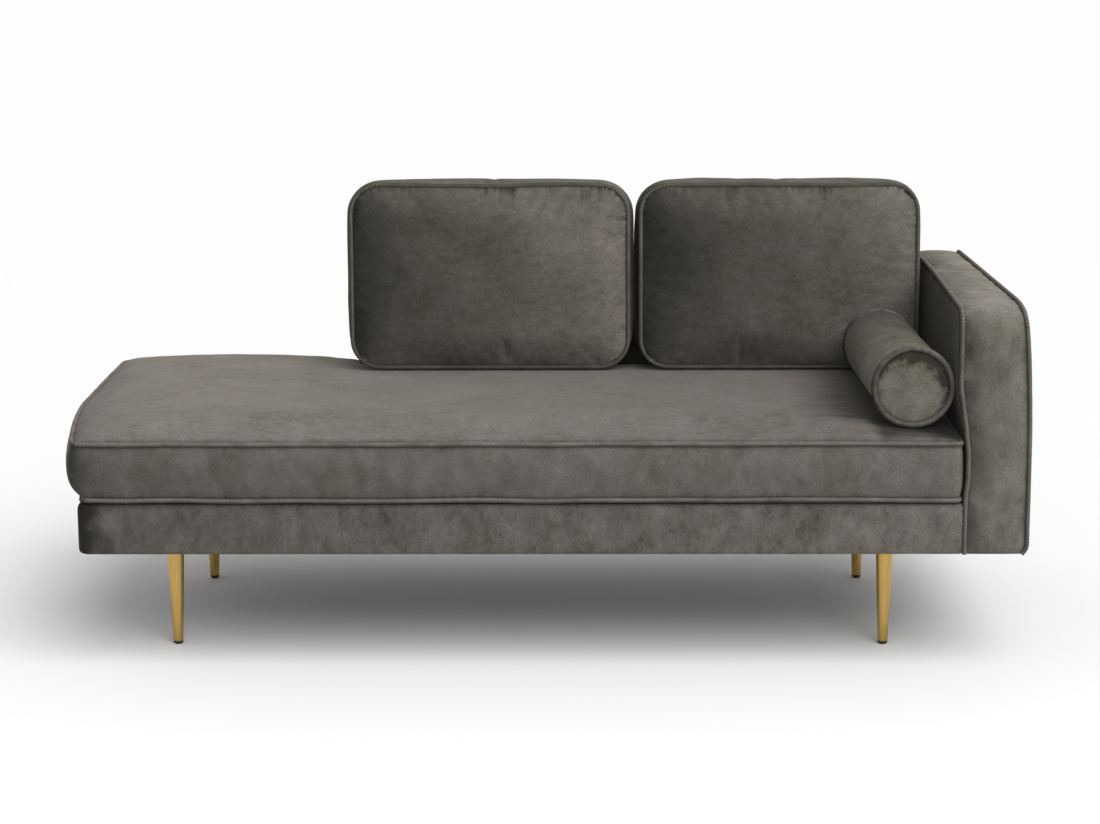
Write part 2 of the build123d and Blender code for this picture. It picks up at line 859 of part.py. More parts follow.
# Bolster: a filled roll along the arm with welted, slightly domed ends
bolster_radius = bolster_diameter / 2
bolster_x = arm_inner - bolster_arm_gap - bolster_radius
bolster_rear = back_seam_y - back_front_crown - soft_clearance - welt_radius
bolster_front = bolster_rear - bolster_length
bolster_z = upper_seam + bolster_sink + soft_clearance + bolster_radius
bolster_plane = Plane(origin=(bolster_x, 0, bolster_z), x_dir=(0, 1, 0), z_dir=(1, 0, 0))
bolster_axis = Axis((bolster_x, 0, bolster_z), (0, 1, 0))
bolster_middle = (bolster_front + bolster_rear) / 2
end_radius = bolster_radius - bolster_waist
ring_radius = end_radius - welt_depth
neck_radius = end_radius - welt_notch
dome_radius = (neck_radius**2 + bolster_end_dome**2) / (2 * bolster_end_dome)
bolster_core_radius = bolster_radius - bolster_fibre_wrap
bolster_core_half = bolster_length / 2 - bolster_fibre_wrap
with BuildPart() as bolster:
    with BuildSketch(bolster_plane):
        with BuildLine():
            for end, outward in ((bolster_front, -1), (bolster_rear, 1)):
                disc = end + outward * neck
                shoulder = end - outward * neck
                RadiusArc(
                    (disc, neck_radius),
                    (disc + outward * bolster_end_dome, 0),
                    outward * dome_radius,
                )
                Polyline((disc, neck_radius), (shoulder, neck_radius), (shoulder, end_radius))
            ThreePointArc(
                (bolster_front + neck, end_radius),
                (bolster_middle, bolster_radius),
                (bolster_rear - neck, end_radius),
            )
            Line(
                (bolster_front - neck - bolster_end_dome, 0),
                (bolster_rear + neck + bolster_end_dome, 0),
            )
        make_face()
        with Locations((bolster_middle, bolster_core_radius / 2)):
            Rectangle(2 * bolster_core_half, bolster_core_radius, mode=Mode.SUBTRACT)
    revolve(axis=bolster_axis)
save(bolster, "bolster")

with BuildPart() as bolster_core:
    rod(
        (bolster_x, bolster_middle - bolster_core_half + soft_clearance, bolster_z),
        (0, 1, 0),
        bolster_core_radius - soft_clearance,
        2 * (bolster_core_half - soft_clearance),
    )
save(bolster_core, "bolster_core")

with BuildPart() as bolster_welts:
    for end in (bolster_front, bolster_rear):
        with BuildSketch(bolster_plane):
            with Locations((end, ring_radius)):
                RegularPolygon(welt_radius, welt_sides)
        revolve(axis=bolster_axis)
save(bolster_welts, "bolster_welts")
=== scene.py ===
"""Dresses the meridienne: velvet seat, back cushions, bolster, arm, backrest and border, gold legs, and its stage."""

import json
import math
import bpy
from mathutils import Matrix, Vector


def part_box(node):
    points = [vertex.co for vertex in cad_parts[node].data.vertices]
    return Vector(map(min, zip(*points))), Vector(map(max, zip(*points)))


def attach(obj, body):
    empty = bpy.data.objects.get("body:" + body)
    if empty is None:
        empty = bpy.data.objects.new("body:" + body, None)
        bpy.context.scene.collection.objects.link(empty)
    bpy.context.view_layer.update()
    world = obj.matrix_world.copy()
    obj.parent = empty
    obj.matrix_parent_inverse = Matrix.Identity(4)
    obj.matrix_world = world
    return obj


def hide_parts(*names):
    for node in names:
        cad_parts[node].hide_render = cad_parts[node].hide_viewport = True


bl_info = {
    "name": "Meridienne Dresser",
    "version": (1, 0, 0),
    "blender": (4, 5, 0),
    "location": "3D View > Sidebar > Meridienne",
    "description": "Upholsters the frame of a one-armed velvet chaise longue and sets its stage",
    "category": "Object",
}

import bpy
import numpy as np
from bpy.props import FloatProperty, FloatVectorProperty, IntProperty, PointerProperty
from mathutils import Matrix, Vector, noise
from mathutils.kdtree import KDTree

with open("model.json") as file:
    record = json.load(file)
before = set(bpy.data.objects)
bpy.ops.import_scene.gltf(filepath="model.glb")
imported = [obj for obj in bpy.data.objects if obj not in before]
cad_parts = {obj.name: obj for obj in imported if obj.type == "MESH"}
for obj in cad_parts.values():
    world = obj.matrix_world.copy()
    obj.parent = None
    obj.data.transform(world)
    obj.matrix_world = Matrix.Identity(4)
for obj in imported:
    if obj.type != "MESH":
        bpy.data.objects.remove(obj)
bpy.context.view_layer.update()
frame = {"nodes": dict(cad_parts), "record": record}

seat_low, seat_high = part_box("seat_cushion")
top_welt_low, top_welt_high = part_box("seat_top_welt")
bottom_welt_low, bottom_welt_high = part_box("seat_bottom_welt")
backrest_low, backrest_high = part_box("backrest_edge_cover")
arm_low, arm_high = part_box("arm_gusset")
arm_inner_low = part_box("arm_inner_cover")[0]
arm_outer_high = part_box("arm_outer_cover")[1]
border_low, border_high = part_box("front_border")
rear_border_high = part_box("back_border")[1]
bolster_low, bolster_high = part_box("bolster")

CROWN_SHARES = (0.0, 0.22, 0.55, 0.80, 0.95, 1.0)
MESH_PARTS = {"VERT": "vertices", "EDGE": "edges", "FACE": "polygons"}
COVER_CELL, BACK_CELL, BACKREST_CELL = 0.0115, 0.0075, 0.015
FABRIC = 0.004
WORLD_LIGHT = 0.52
CAMERA_PLACE, CAMERA_ANGLES = (0.0898, -4.2826, 1.3153), (9.606, -0.922, -0.278)
CAMERA_FOCUS, PHOTO_WIDTH, SENSOR = 2343.2, 1100, 36.0


def srgb(code):
    """Red, green and blue from 0 to 1 of a hex colour, still in sRGB."""
    return tuple(int(code[at : at + 2], 16) / 255 for at in (1, 3, 5))


def linear(colour):
    """An sRGB colour as linear red, green, blue and full alpha."""
    parts = [part / 12.92 if part <= 0.04045 else ((part + 0.055) / 1.055) ** 2.4 for part in colour]
    return (*parts, 1.0)


def length(name, description, default):
    """A length in metres for the panel."""
    return FloatProperty(
        name=name, description=description, default=default, subtype="DISTANCE", unit="LENGTH", precision=4
    )


def tint(name, description, code):
    """An sRGB colour for the panel."""
    return FloatVectorProperty(
        name=name, description=description, default=srgb(code), subtype="COLOR_GAMMA", size=3, min=0.0, max=1.0
    )


class MeridienneSizes(bpy.types.PropertyGroup):
    """Sizes of the upholstery that a user may change."""

    welt: length("Welt", "Thickness of the sewn-in cord", 0.0080)
    seat_crown: length("Seat crown", "Rise of the seat above its seam", 0.029)
    seat_bulge: length("Seat bulge", "Swell of the seat's boxing", 0.005)
    seat_tuck: length("Seat tuck", "Draw-in of the lower seam at the free end", 0.016)
    back_crown: length("Back crown", "Swell of a back cushion's front", 0.020)
    back_rear_crown: length("Back rear crown", "Swell of a back cushion's rear", 0.019)
    back_depth: length("Back boxing", "Depth of a back cushion between its seams", 0.126)
    back_bulge: length("Back bulge", "Swell of a back cushion's boxing", 0.009)
    back_corner: length("Back corner", "Corner radius of a back cushion", 0.054)
    back_lean: FloatProperty(
        name="Back lean", description="Lean of the back cushions", default=math.radians(2), subtype="ANGLE"
    )
    press: FloatProperty(name="Pressure", description="Filling pressure in the cloth simulation", default=4.0)
    frames: IntProperty(name="Frames", description="Steps of the cloth simulation", default=20)


class MeridienneColours(bpy.types.PropertyGroup):
    """Colours of the finishes, in sRGB."""

    seat: tint("Seat velvet", "Pile brushed away from the viewer", "#77716C")
    side: tint("Side velvet", "Pile of the border, the backrest and the welts, brushed down", "#67615C")
    back: tint("Back velvet", "Pile of the back cushions, brushed up and so darker", "#55514B")
    back_welt: tint("Back welt velvet", "Strip round the back cushions' cord", "#5F5C55")
    bolster: tint("Bolster velvet", "Pile brushed along the bolster", "#656159")
    arm: tint("Arm velvet", "Pile of the arm, brushed down", "#66625B")
    gold: tint("Leg gold", "Brass plating of the legs", "#BF9E5C")


def sizes():
    return bpy.context.scene.meridienne_sizes


def colours():
    return bpy.context.scene.meridienne_colours


# Materials


def add_node(tree, kind, inputs=(), stops=(), **settings):
    """Add a node with its settings, fill its inputs or link them to nodes or sockets, and set a ramp's stops."""
    node = tree.nodes.new(kind)
    for name, value in settings.items():
        setattr(node, name, value)
    for name, value in dict(inputs).items():
        if isinstance(value, bpy.types.Node):
            value = value.outputs[0]
        if isinstance(value, bpy.types.NodeSocket):
            tree.links.new(value, node.inputs[name])
        else:
            node.inputs[name].default_value = value
    if stops:
        elements = node.color_ramp.elements
        while len(elements) < len(stops):
            elements.new(0.5)
        for element, (place, colour) in zip(elements, stops):
            element.position = place
            element.color = colour
    return node


def new_material(name):
    """An empty node material and its tree."""
    material = bpy.data.materials.new(name)
    material.use_nodes = True
    material.node_tree.nodes.clear()
    return material, material.node_tree


def shade(colour, factor):
    """A linear colour made darker or lighter."""
    return (*(min(1.0, part * factor) for part in colour[:3]), 1.0)


def velvet(name, colour, seed, grain, contrast):
    """Polyester velvet: a dense upright pile, olive where it leans away and mauve grey where it catches the light.

    It leans in clouds of some 110 mm and in brushed marks of some 16 mm, longer along the grain.
    The pile's tufts, under 1 mm apart, are drawn as specks of some 4 mm, the least that shows. The colour is
    scaled by a vertex attribute that holds the lie of the pile together with painted shade and painted light.
    """
    material, tree = new_material(name)
    place = add_node(tree, "ShaderNodeTexCoord").outputs["Object"]
    moved = add_node(tree, "ShaderNodeMapping", {"Vector": place, "Location": (seed, seed * 0.7, seed * 1.3)})
    combed = add_node(tree, "ShaderNodeMapping", {"Vector": moved, "Scale": grain})
    look = {"Vector": moved, "Scale": 9.0, "Detail": 4.0, "Roughness": 0.55, "Distortion": 0.3}
    clouds = add_node(tree, "ShaderNodeTexNoise", look)
    look = {"Vector": combed, "Scale": 62.0, "Detail": 8.0, "Roughness": 0.74, "Distortion": 0.3}
    marks = add_node(tree, "ShaderNodeTexNoise", look)
    specks = add_node(tree, "ShaderNodeTexNoise", {"Vector": place, "Scale": 270.0, "Detail": 3.0, "Roughness": 0.75})
    brushed = add_node(tree, "ShaderNodeMix", {"Factor": 0.6, "A": clouds, "B": marks}, data_type="FLOAT")
    look = {"Value": specks, "From Min": 0.3, "From Max": 0.7, "To Min": 0.80, "To Max": 1.20}
    grained = add_node(tree, "ShaderNodeMapRange", look)
    base = linear(colour)
    olive = (base[0] * 0.98, base[1], base[2] * 0.95)
    mauve = (base[0] * 0.995, base[1], base[2] * 1.01)
    stops = [
        (0.34, shade(olive, 1 - 0.50 * contrast)),
        (0.46, shade(olive, 1 - 0.10 * contrast)),
        (0.54, shade(mauve, 1 + 0.06 * contrast)),
        (0.68, shade(mauve, 1 + 0.40 * contrast)),
    ]
    tone = add_node(tree, "ShaderNodeValToRGB", {"Fac": brushed}, stops)
    # The vertex attribute read here holds the lie of the pile and the painted shade and light of each piece
    nap = add_node(tree, "ShaderNodeAttribute", attribute_name="nap").outputs["Vector"]
    lying_and_shaded = add_node(tree, "ShaderNodeVectorMath", {0: tone, 1: nap}, operation="MULTIPLY")
    lying_and_shaded = add_node(tree, "ShaderNodeVectorMath", {0: lying_and_shaded, "Scale": grained}, operation="SCALE")
    relief = add_node(tree, "ShaderNodeMix", {"Factor": 0.4, "A": specks, "B": marks}, data_type="FLOAT")
    look = {
        "Base Color": lying_and_shaded,
        "Roughness": 0.9,
        "Specular IOR Level": 0.1,
        "Sheen Weight": 0.25,
        "Sheen Roughness": 0.35,
        "Sheen Tint": shade(base, 3.5),
        "Normal": add_node(tree, "ShaderNodeBump", {"Height": relief, "Strength": 0.35, "Distance": 0.0015}),
    }
    add_node(tree, "ShaderNodeOutputMaterial", {"Surface": add_node(tree, "ShaderNodeBsdfPrincipled", look)})
    return material


def brushed_brass(name, colour):
    """Brass plating on steel tube, brushed along the leg: fine lengthwise lines and soft highlights.

    The brush lines, some 0.1 mm apart, are drawn 1.4 mm wide and some 110 mm long, the least that shows.
    """
    material, tree = new_material(name)
    place = add_node(tree, "ShaderNodeTexCoord").outputs["Object"]
    drawn_out = add_node(tree, "ShaderNodeMapping", {"Vector": place, "Scale": (700.0, 700.0, 9.0)})
    lines = add_node(tree, "ShaderNodeTexNoise", {"Vector": drawn_out, "Scale": 1.0, "Detail": 3.0})
    base = linear(colour)
    stops = [(0.35, shade(base, 0.86)), (0.65, shade(base, 1.08))]
    look = {"Value": lines, "From Min": 0.3, "From Max": 0.7, "To Min": 0.26, "To Max": 0.38}
    look = {
        "Base Color": add_node(tree, "ShaderNodeValToRGB", {"Fac": lines}, stops),
        "Metallic": 1.0,
        "Roughness": add_node(tree, "ShaderNodeMapRange", look),
        "Normal": add_node(tree, "ShaderNodeBump", {"Height": lines, "Strength": 0.06, "Distance": 0.0004}),
    }
    add_node(tree, "ShaderNodeOutputMaterial", {"Surface": add_node(tree, "ShaderNodeBsdfPrincipled", look)})
    return material


def grained_solid(name, codes, scale, roughness, relief, stretch=(1, 1, 1), metallic=0.0):
    """A plain material with a grain: stretched noise between two colours, with a little relief."""
    material, tree = new_material(name)
    place = add_node(tree, "ShaderNodeTexCoord").outputs["Object"]
    stretched = add_node(tree, "ShaderNodeMapping", {"Vector": place, "Scale": stretch})
    look = {"Vector": stretched, "Scale": scale, "Detail": 6.0, "Distortion": 0.5}
    grain = add_node(tree, "ShaderNodeTexNoise", look)
    dark, light = (linear(srgb(code)) for code in codes)
    look = {
        "Base Color": add_node(tree, "ShaderNodeValToRGB", {"Fac": grain}, [(0.35, dark), (0.65, light)]),
        "Roughness": roughness,
        "Metallic": metallic,
        "Normal": add_node(tree, "ShaderNodeBump", {"Height": grain, "Strength": relief, "Distance": 0.001}),
    }
    add_node(tree, "ShaderNodeOutputMaterial", {"Surface": add_node(tree, "ShaderNodeBsdfPrincipled", look)})
    return material


def woven(name, code, thread):
    """Plain-weave cloth with threads of a given width in metres."""
    material, tree = new_material(name)
    place = add_node(tree, "ShaderNodeTexCoord").outputs["Object"]
    bands_per_unit = 20
    look = {"Vector": place, "Scale": 1.0 / thread / bands_per_unit, "Distortion": 0.4}
    across = add_node(tree, "ShaderNodeTexWave", look, bands_direction="X").outputs["Fac"]
    along = add_node(tree, "ShaderNodeTexWave", look, bands_direction="Y").outputs["Fac"]
    weave = add_node(tree, "ShaderNodeMath", {0: across, 1: along}, operation="MULTIPLY")
    base = linear(srgb(code))
    stops = [(0.0, shade(base, 0.6)), (0.6, shade(base, 1.2))]
    look = {
        "Base Color": add_node(tree, "ShaderNodeValToRGB", {"Fac": weave}, stops),
        "Roughness": 0.85,
        "Normal": add_node(tree, "ShaderNodeBump", {"Height": weave, "Strength": 0.4, "Distance": 0.0006}),
    }
    add_node(tree, "ShaderNodeOutputMaterial", {"Surface": add_node(tree, "ShaderNodeBsdfPrincipled", look)})
    return material


# Meshes


def points(piece):
    """A mesh's vertex places as an array."""
    places = np.empty(len(piece.data.vertices) * 3)
    piece.data.vertices.foreach_get("co", places)
    return places.reshape(-1, 3)


def place_points(piece, places):
    """Set a mesh's vertex places from an array."""
    piece.data.vertices.foreach_set("co", np.ascontiguousarray(places, dtype=np.float32).ravel())
    piece.data.update()


def clouds_at(places, scale, seed):
    """Smooth noise from -1 to 1 at each place, with features of the given size in metres."""
    offset = Vector((seed * 7.1, seed * 3.7, seed * 5.3))
    return np.array([noise.noise(Vector(place) / scale + offset) for place in places])


def steps(low, high, cell):
    """Even stops from low to high, about a cell apart."""
    return np.linspace(low, high, max(2, round((high - low) / cell) + 1))


def choose(piece):
    """Select a piece alone and make it the active one."""
    bpy.ops.object.select_all(action="DESELECT")
    piece.select_set(True)
    bpy.context.view_layer.objects.active = piece


def edit(piece, kind="FACE", test=None):
    """Enter edit mode with all selected, or only the vertices, edges or faces that pass a test."""
    bpy.ops.object.mode_set(mode="EDIT")
    bpy.ops.mesh.select_mode(type=kind)
    bpy.ops.mesh.select_all(action="DESELECT" if test else "SELECT")
    if test:
        leave_edit()
        for part in getattr(piece.data, MESH_PARTS[kind]):
            part.select = bool(test(part))
        bpy.ops.object.mode_set(mode="EDIT")


def leave_edit():
    """Go back to object mode."""
    bpy.ops.object.mode_set(mode="OBJECT")


def flip(piece):
    """Turn all faces of a mesh round."""
    edit(piece)
    bpy.ops.mesh.flip_normals()
    leave_edit()


def flat_panel(name, across, up, notch=None):
    """A panel in the XY plane with grid lines at the given stops, less the cells past a notch's corner."""
    bpy.ops.object.select_all(action="DESELECT")
    bpy.ops.mesh.primitive_grid_add(x_subdivisions=len(across) - 1, y_subdivisions=len(up) - 1, size=1.0)
    piece = bpy.context.object
    piece.name = piece.data.name = name
    places = points(piece)
    places[:, 0] = np.interp(places[:, 0], np.linspace(-0.5, 0.5, len(across)), across)
    places[:, 1] = np.interp(places[:, 1], np.linspace(-0.5, 0.5, len(up)), up)
    place_points(piece, places)
    if notch:
        edit(piece, "FACE", lambda face: face.center.x > notch[0] and face.center.y > notch[1])
        bpy.ops.mesh.delete(type="FACE")
        leave_edit()
    return piece


def rim_order(piece):
    """The panel's edge as vertex numbers, in order, anticlockwise."""
    loops = np.empty(len(piece.data.loops), dtype=np.int32)
    piece.data.loops.foreach_get("edge_index", loops)
    uses = np.bincount(loops, minlength=len(piece.data.edges))
    beside = {}
    for edge in piece.data.edges:
        if uses[edge.index] == 1:
            first, second = edge.vertices
            beside.setdefault(first, []).append(second)
            beside.setdefault(second, []).append(first)
    start = min(beside)
    order = [start, beside[start][0]]
    while True:
        following = [vertex for vertex in beside[order[-1]] if vertex != order[-2]][0]
        if following == start:
            break
        order.append(following)
    places = points(piece)[order]
    ahead = np.roll(places, -1, axis=0)
    area = (places[:, 0] * ahead[:, 1] - ahead[:, 0] * places[:, 1]).sum()
    return order if area > 0 else order[::-1]


def round_corners(piece, order, corners):
    """Move the rim onto rounded corners, each a place, its inward directions and its radius."""
    places = points(piece)
    for (x, y), (inward_x, inward_y), radius in corners:
        centre_x, centre_y = x + inward_x * radius, y + inward_y * radius
        for vertex in order:
            away_x, away_y = abs(places[vertex, 0] - x), abs(places[vertex, 1] - y)
            if away_y < 1e-5 and away_x < radius:
                turn = math.pi / 4 * (1 - away_x / radius)
                places[vertex, 0] = centre_x - inward_x * radius * math.sin(turn)
                places[vertex, 1] = centre_y - inward_y * radius * math.cos(turn)
            elif away_x < 1e-5 and away_y < radius:
                turn = math.pi / 4 * (1 - away_y / radius)
                places[vertex, 0] = centre_x - inward_x * radius * math.cos(turn)
                places[vertex, 1] = centre_y - inward_y * radius * math.sin(turn)
    place_points(piece, places)
    rim = set(order)
    edit(piece, "VERT", lambda vertex: vertex.index not in rim)
    bpy.ops.mesh.vertices_smooth(factor=0.5, repeat=60, zaxis=False)
    leave_edit()


def inset_rim(piece, widths):
    """Add narrow rings of faces just inside the panel's edge."""
    choose(piece)
    edit(piece)
    for width in widths:
        bpy.ops.mesh.inset(thickness=width, use_boundary=True, use_even_offset=True)
    leave_edit()


def store(piece, name, values):
    """Keep numbers or vectors on the mesh's vertices under a name."""
    values = np.asarray(values, dtype=np.float32)
    kind, field = ("FLOAT", "value") if values.ndim == 1 else ("FLOAT_VECTOR", "vector")
    layer = piece.data.attributes.get(name) or piece.data.attributes.new(name, kind, "POINT")
    layer.data.foreach_set(field, values.ravel())


def recall(piece, name):
    """Read back what store kept."""
    layer = piece.data.attributes[name]
    if layer.data_type == "FLOAT":
        values = np.empty(len(layer.data), dtype=np.float32)
        layer.data.foreach_get("value", values)
        return values.astype(float)
    values = np.empty(len(layer.data) * 3, dtype=np.float32)
    layer.data.foreach_get("vector", values)
    return values.reshape(-1, 3).astype(float)


class Boxed:
    """A boxed form: two panels and the rows of boxing between them, each vertex known by panel place and row.

    It keeps three attributes: away, the distance to the nearest seam, root, the seam's place nearest to it,
    and panel, which is 1 on the two panels and 0 on the boxing.
    """

    def __init__(self, piece, shares, depth):
        order = rim_order(piece)
        rows = len(shares) - 1
        flat = points(piece)
        rim = np.zeros(len(flat), dtype=np.int32)
        rim[order] = np.arange(1, len(order) + 1)
        piece.data.attributes.new("rim", "INT", "POINT").data.foreach_set("value", rim)
        loop = flat[order, :2]
        along = np.roll(loop, -1, axis=0) - np.roll(loop, 1, axis=0)
        outward = np.stack([along[:, 1], -along[:, 0]], axis=1)
        outward /= np.linalg.norm(outward, axis=1, keepdims=True)
        choose(piece)
        edit(piece)
        for _ in range(rows):
            bpy.ops.mesh.extrude_region_move(TRANSFORM_OT_translate={"value": (0, 0, 1)})
        bpy.ops.mesh.select_all(action="SELECT")
        bpy.ops.mesh.normals_make_consistent(inside=False)
        leave_edit()
        self.piece = piece
        self.rows = rows
        self.flat = points(piece)
        self.row = np.rint(self.flat[:, 2]).astype(int)
        self.rim = np.empty(len(self.flat), dtype=np.int32)
        piece.data.attributes["rim"].data.foreach_get("value", self.rim)
        piece.data.attributes.remove(piece.data.attributes["rim"])
        self.outward = np.zeros((len(self.flat), 2))
        on_rim = self.rim > 0
        self.outward[on_rim] = outward[self.rim[on_rim] - 1]
        self.on_rim = on_rim
        self.inside = ~on_rim
        self.sewn = on_rim & ((self.row == 0) | (self.row == rows))
        self.first = self.inside & (self.row == 0)
        self.last = self.inside & (self.row == rows)
        self.share = np.asarray(shares)[self.row]
        dense = even_path(np.column_stack([loop, np.zeros(len(loop))]), 0.002, True)
        tree = KDTree(len(dense))
        for index, place in enumerate(dense):
            tree.insert(place, index)
        tree.balance()
        self.root = np.column_stack([self.flat[:, :2], (self.row == rows) * 1.0])
        self.away = np.minimum(self.share, 1 - self.share) * depth
        for vertex in np.flatnonzero(self.inside):
            place, _, distance = tree.find((*self.flat[vertex, :2], 0))
            self.root[vertex, :2] = place[:2]
            self.away[vertex] = distance
        store(piece, "root", self.root)
        store(piece, "away", self.away)
        store(piece, "panel", self.inside * 1.0)

    def seam(self, row):
        """Places along the rim of one row, in order."""
        chosen = np.flatnonzero((self.row == row) & self.on_rim)
        chosen = chosen[np.argsort(self.rim[chosen])]
        return points(self.piece)[chosen]


def inflate(piece, sewn, pressure, growth, reach):
    """Fill a cover by cloth simulation, with its sewn vertices held and every move capped at a reach."""
    frames, before = sizes().frames, points(piece)
    choose(piece)
    group = piece.vertex_groups.new(name="sewn")
    group.add([int(vertex) for vertex in np.flatnonzero(sewn)], 1.0, "REPLACE")
    cloth = piece.modifiers.new("Cloth", "CLOTH")
    settings = cloth.settings
    settings.quality = 6
    settings.mass = 0.25
    settings.tension_stiffness = settings.compression_stiffness = 12
    settings.shear_stiffness = 4
    settings.bending_stiffness = 0.6
    settings.use_pressure = True
    settings.uniform_pressure_force = pressure
    settings.shrink_min = -growth
    settings.vertex_group_mass = "sewn"
    settings.effector_weights.gravity = 0
    cloth.collision_settings.use_collision = False
    cloth.point_cache.frame_start = 1
    cloth.point_cache.frame_end = frames
    for step in range(1, frames + 1):
        bpy.context.scene.frame_set(step)
    bpy.ops.object.modifier_apply(modifier="Cloth")
    bpy.context.scene.frame_set(1)
    piece.vertex_groups.clear()
    move = points(piece) - before
    moved = np.linalg.norm(move, axis=1, keepdims=True)
    place_points(piece, before + move * np.minimum(1.0, reach / np.maximum(moved, 1e-9)))


def outward_normals(piece):
    """A mesh's vertex normals as an array."""
    normals = np.empty(len(piece.data.vertices) * 3, dtype=np.float32)
    piece.data.vertex_normals.foreach_get("vector", normals)
    return normals.reshape(-1, 3).astype(float)


def pucker(piece, depth, reach, seed):
    """Press short creases into a cover, square to its seams and in clusters; return them from 0 to 1."""
    away, root = recall(piece, "away"), recall(piece, "root")
    crease = np.exp(-((clouds_at(root + away[:, None] * 0.05, 0.010, seed) / 0.16) ** 2))
    cluster = np.clip(0.45 + 1.5 * clouds_at(root, 0.055, seed + 1), 0, 1)
    run = reach * (0.35 + 0.9 * np.clip(0.5 + clouds_at(root, 0.02, seed + 2), 0, 1))
    crease *= cluster * np.exp(-((away / run) ** 2)) * np.clip(away / 0.004, 0, 1)
    places = points(piece)
    place_points(piece, places - outward_normals(piece) * (crease * depth)[:, None])
    return crease


def tint_pile_and_shade(piece, nap):
    """Keep the lie of the pile and its painted shade as a tint: the darker the value, the more olive it looks."""
    nap = np.clip(nap, 0.05, None)
    store(piece, "nap", np.column_stack([nap**1.02, nap, nap**1.04]))


def lay_pile_and_shade(piece, lean, limits, extra=1.0, seam_shade=0.45):
    """Paint light and shade into the pile: lighter or darker by the way each place faces, as if lit from one side,
    with painted shade in the seams, times an extra share.
    """
    # painted light and shade by the way each place faces, weighted by lean
    nap = np.clip(1 + outward_normals(piece) @ np.asarray(lean), *limits)
    # painted shade in the seams
    nap *= 1 - seam_shade * np.exp(-((recall(piece, "away") / 0.0055) ** 2))
    tint_pile_and_shade(piece, nap * extra)


def finish_cover(piece, material, body, nodes):
    """Subdivide and smooth a cover, give it its material, attach it to its body and hide the parts it stands for."""
    choose(piece)
    rounder = piece.modifiers.new("Subdivision", "SUBSURF")
    rounder.levels = rounder.render_levels = 1
    bpy.ops.object.modifier_apply(modifier="Subdivision")
    bpy.ops.object.shade_smooth()
    piece.data.materials.clear()
    piece.data.materials.append(material)
    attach(piece, body)
    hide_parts(*nodes)


def even_path(path, spacing, closed):
    """The path again with even steps, lightly smoothed."""
    path = np.vstack([path, path[:1]]) if closed else np.asarray(path)
    run = np.concatenate([[0], np.cumsum(np.linalg.norm(np.diff(path, axis=0), axis=1))])
    count = max(4, round(run[-1] / spacing))
    at = np.linspace(0, run[-1], count, endpoint=not closed)
    even = np.stack([np.interp(at, run, path[:, axis]) for axis in range(3)], axis=1)
    for _ in range(6):
        if closed:
            even = 0.5 * even + 0.25 * (np.roll(even, 1, axis=0) + np.roll(even, -1, axis=0))
        else:
            even[1:-1] = 0.5 * even[1:-1] + 0.25 * (even[:-2] + even[2:])
    return even


def welt(name, path, closed, material, body, nodes, seed, ribbing=1.0, thickness=1.0, upward=0.40):
    """A cord in a velvet strip, sewn along a path: ribbed where it turns a corner, nearly plain elsewhere."""
    spacing, rib_width = 0.0022, 0.0056
    path = even_path(path, spacing, closed)
    ahead = np.roll(path, -3, axis=0) - path
    behind = path - np.roll(path, 3, axis=0)
    reach = np.linalg.norm(ahead, axis=1) * np.linalg.norm(behind, axis=1) + 1e-12
    turn = np.arccos(np.clip((ahead * behind).sum(axis=1) / reach, -1, 1))
    if not closed:
        turn[:4] = turn[-4:] = 0
    kernel = np.ones(15) / 15
    turn = np.convolve(np.concatenate([turn[-7:], turn, turn[:7]]), kernel, mode="valid")
    ribbed = ribbing * np.clip(turn / 0.10, 0, 1)
    index = np.arange(len(path))
    ribs = np.sin(index * 2 * math.pi * spacing / rib_width + 2.5 * clouds_at(path, 0.02, seed))
    ribs *= np.clip(0.7 + 1.2 * clouds_at(path, 0.03, seed + 2), 0, 1.3)
    radius = 1 + 0.04 * clouds_at(path, 0.012, seed + 1) + ribs * (0.012 + 0.08 * ribbed)
    curve = bpy.data.curves.new(name, "CURVE")
    curve.dimensions = "3D"
    curve.bevel_depth = sizes().welt / 2 * thickness
    curve.bevel_resolution = 3
    curve.use_fill_caps = True
    spline = curve.splines.new("POLY")
    spline.points.add(len(path) - 1)
    spline.points.foreach_set("co", np.column_stack([path, np.ones(len(path))]).ravel())
    spline.points.foreach_set("radius", radius)
    spline.use_cyclic_u = closed
    piece = bpy.data.objects.new(name, curve)
    bpy.context.scene.collection.objects.link(piece)
    choose(piece)
    bpy.ops.object.convert(target="MESH")
    piece = bpy.context.object
    bpy.ops.object.shade_smooth()
    # painted light and shade: the cord is lighter or darker by the way each place of it faces
    nap = np.clip(0.72 + outward_normals(piece) @ np.array([0.40, 0.0, upward]), 0.25, 1.3)
    sides = len(piece.data.vertices) // len(path)
    # painted light on the rib crests and painted shade between them, with the random mottle of the pile
    cord_shade_and_mottle = 1 + ribs * (0.05 + 0.40 * ribbed) + 0.25 * clouds_at(path, 0.03, seed + 3)
    nap[: sides * len(path)] *= np.repeat(cord_shade_and_mottle, sides)
    tint_pile_and_shade(piece, nap)
    piece.data.materials.clear()
    piece.data.materials.append(material)
    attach(piece, body)
    if nodes:
        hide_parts(*nodes)
    return piece


def rise(distance, insets):
    """Share of a crown reached at a distance from its seam."""
    return np.interp(distance, insets, CROWN_SHARES)


def outside(seam, across, up):
    """Directions out of a closed seam, within the plane of two directions."""
    flat = np.column_stack([seam @ across, seam @ up])
    along = np.roll(flat, -1, axis=0) - np.roll(flat, 1, axis=0)
    outward = np.column_stack([along[:, 1], -along[:, 0]])
    outward /= np.linalg.norm(outward, axis=1, keepdims=True) + 1e-12
    return outward[:, :1] * across + outward[:, 1:] * up


def outward_facing(piece):
    """Turn a closed mesh right side out if its volume is negative."""
    places = points(piece)
    volume = 0.0
    for face in piece.data.polygons:
        corners = [places[vertex] for vertex in face.vertices]
        for second, third in zip(corners[1:], corners[2:]):
            volume += float(np.dot(corners[0], np.cross(second, third)))
    if volume < 0:
        flip(piece)


# Pieces


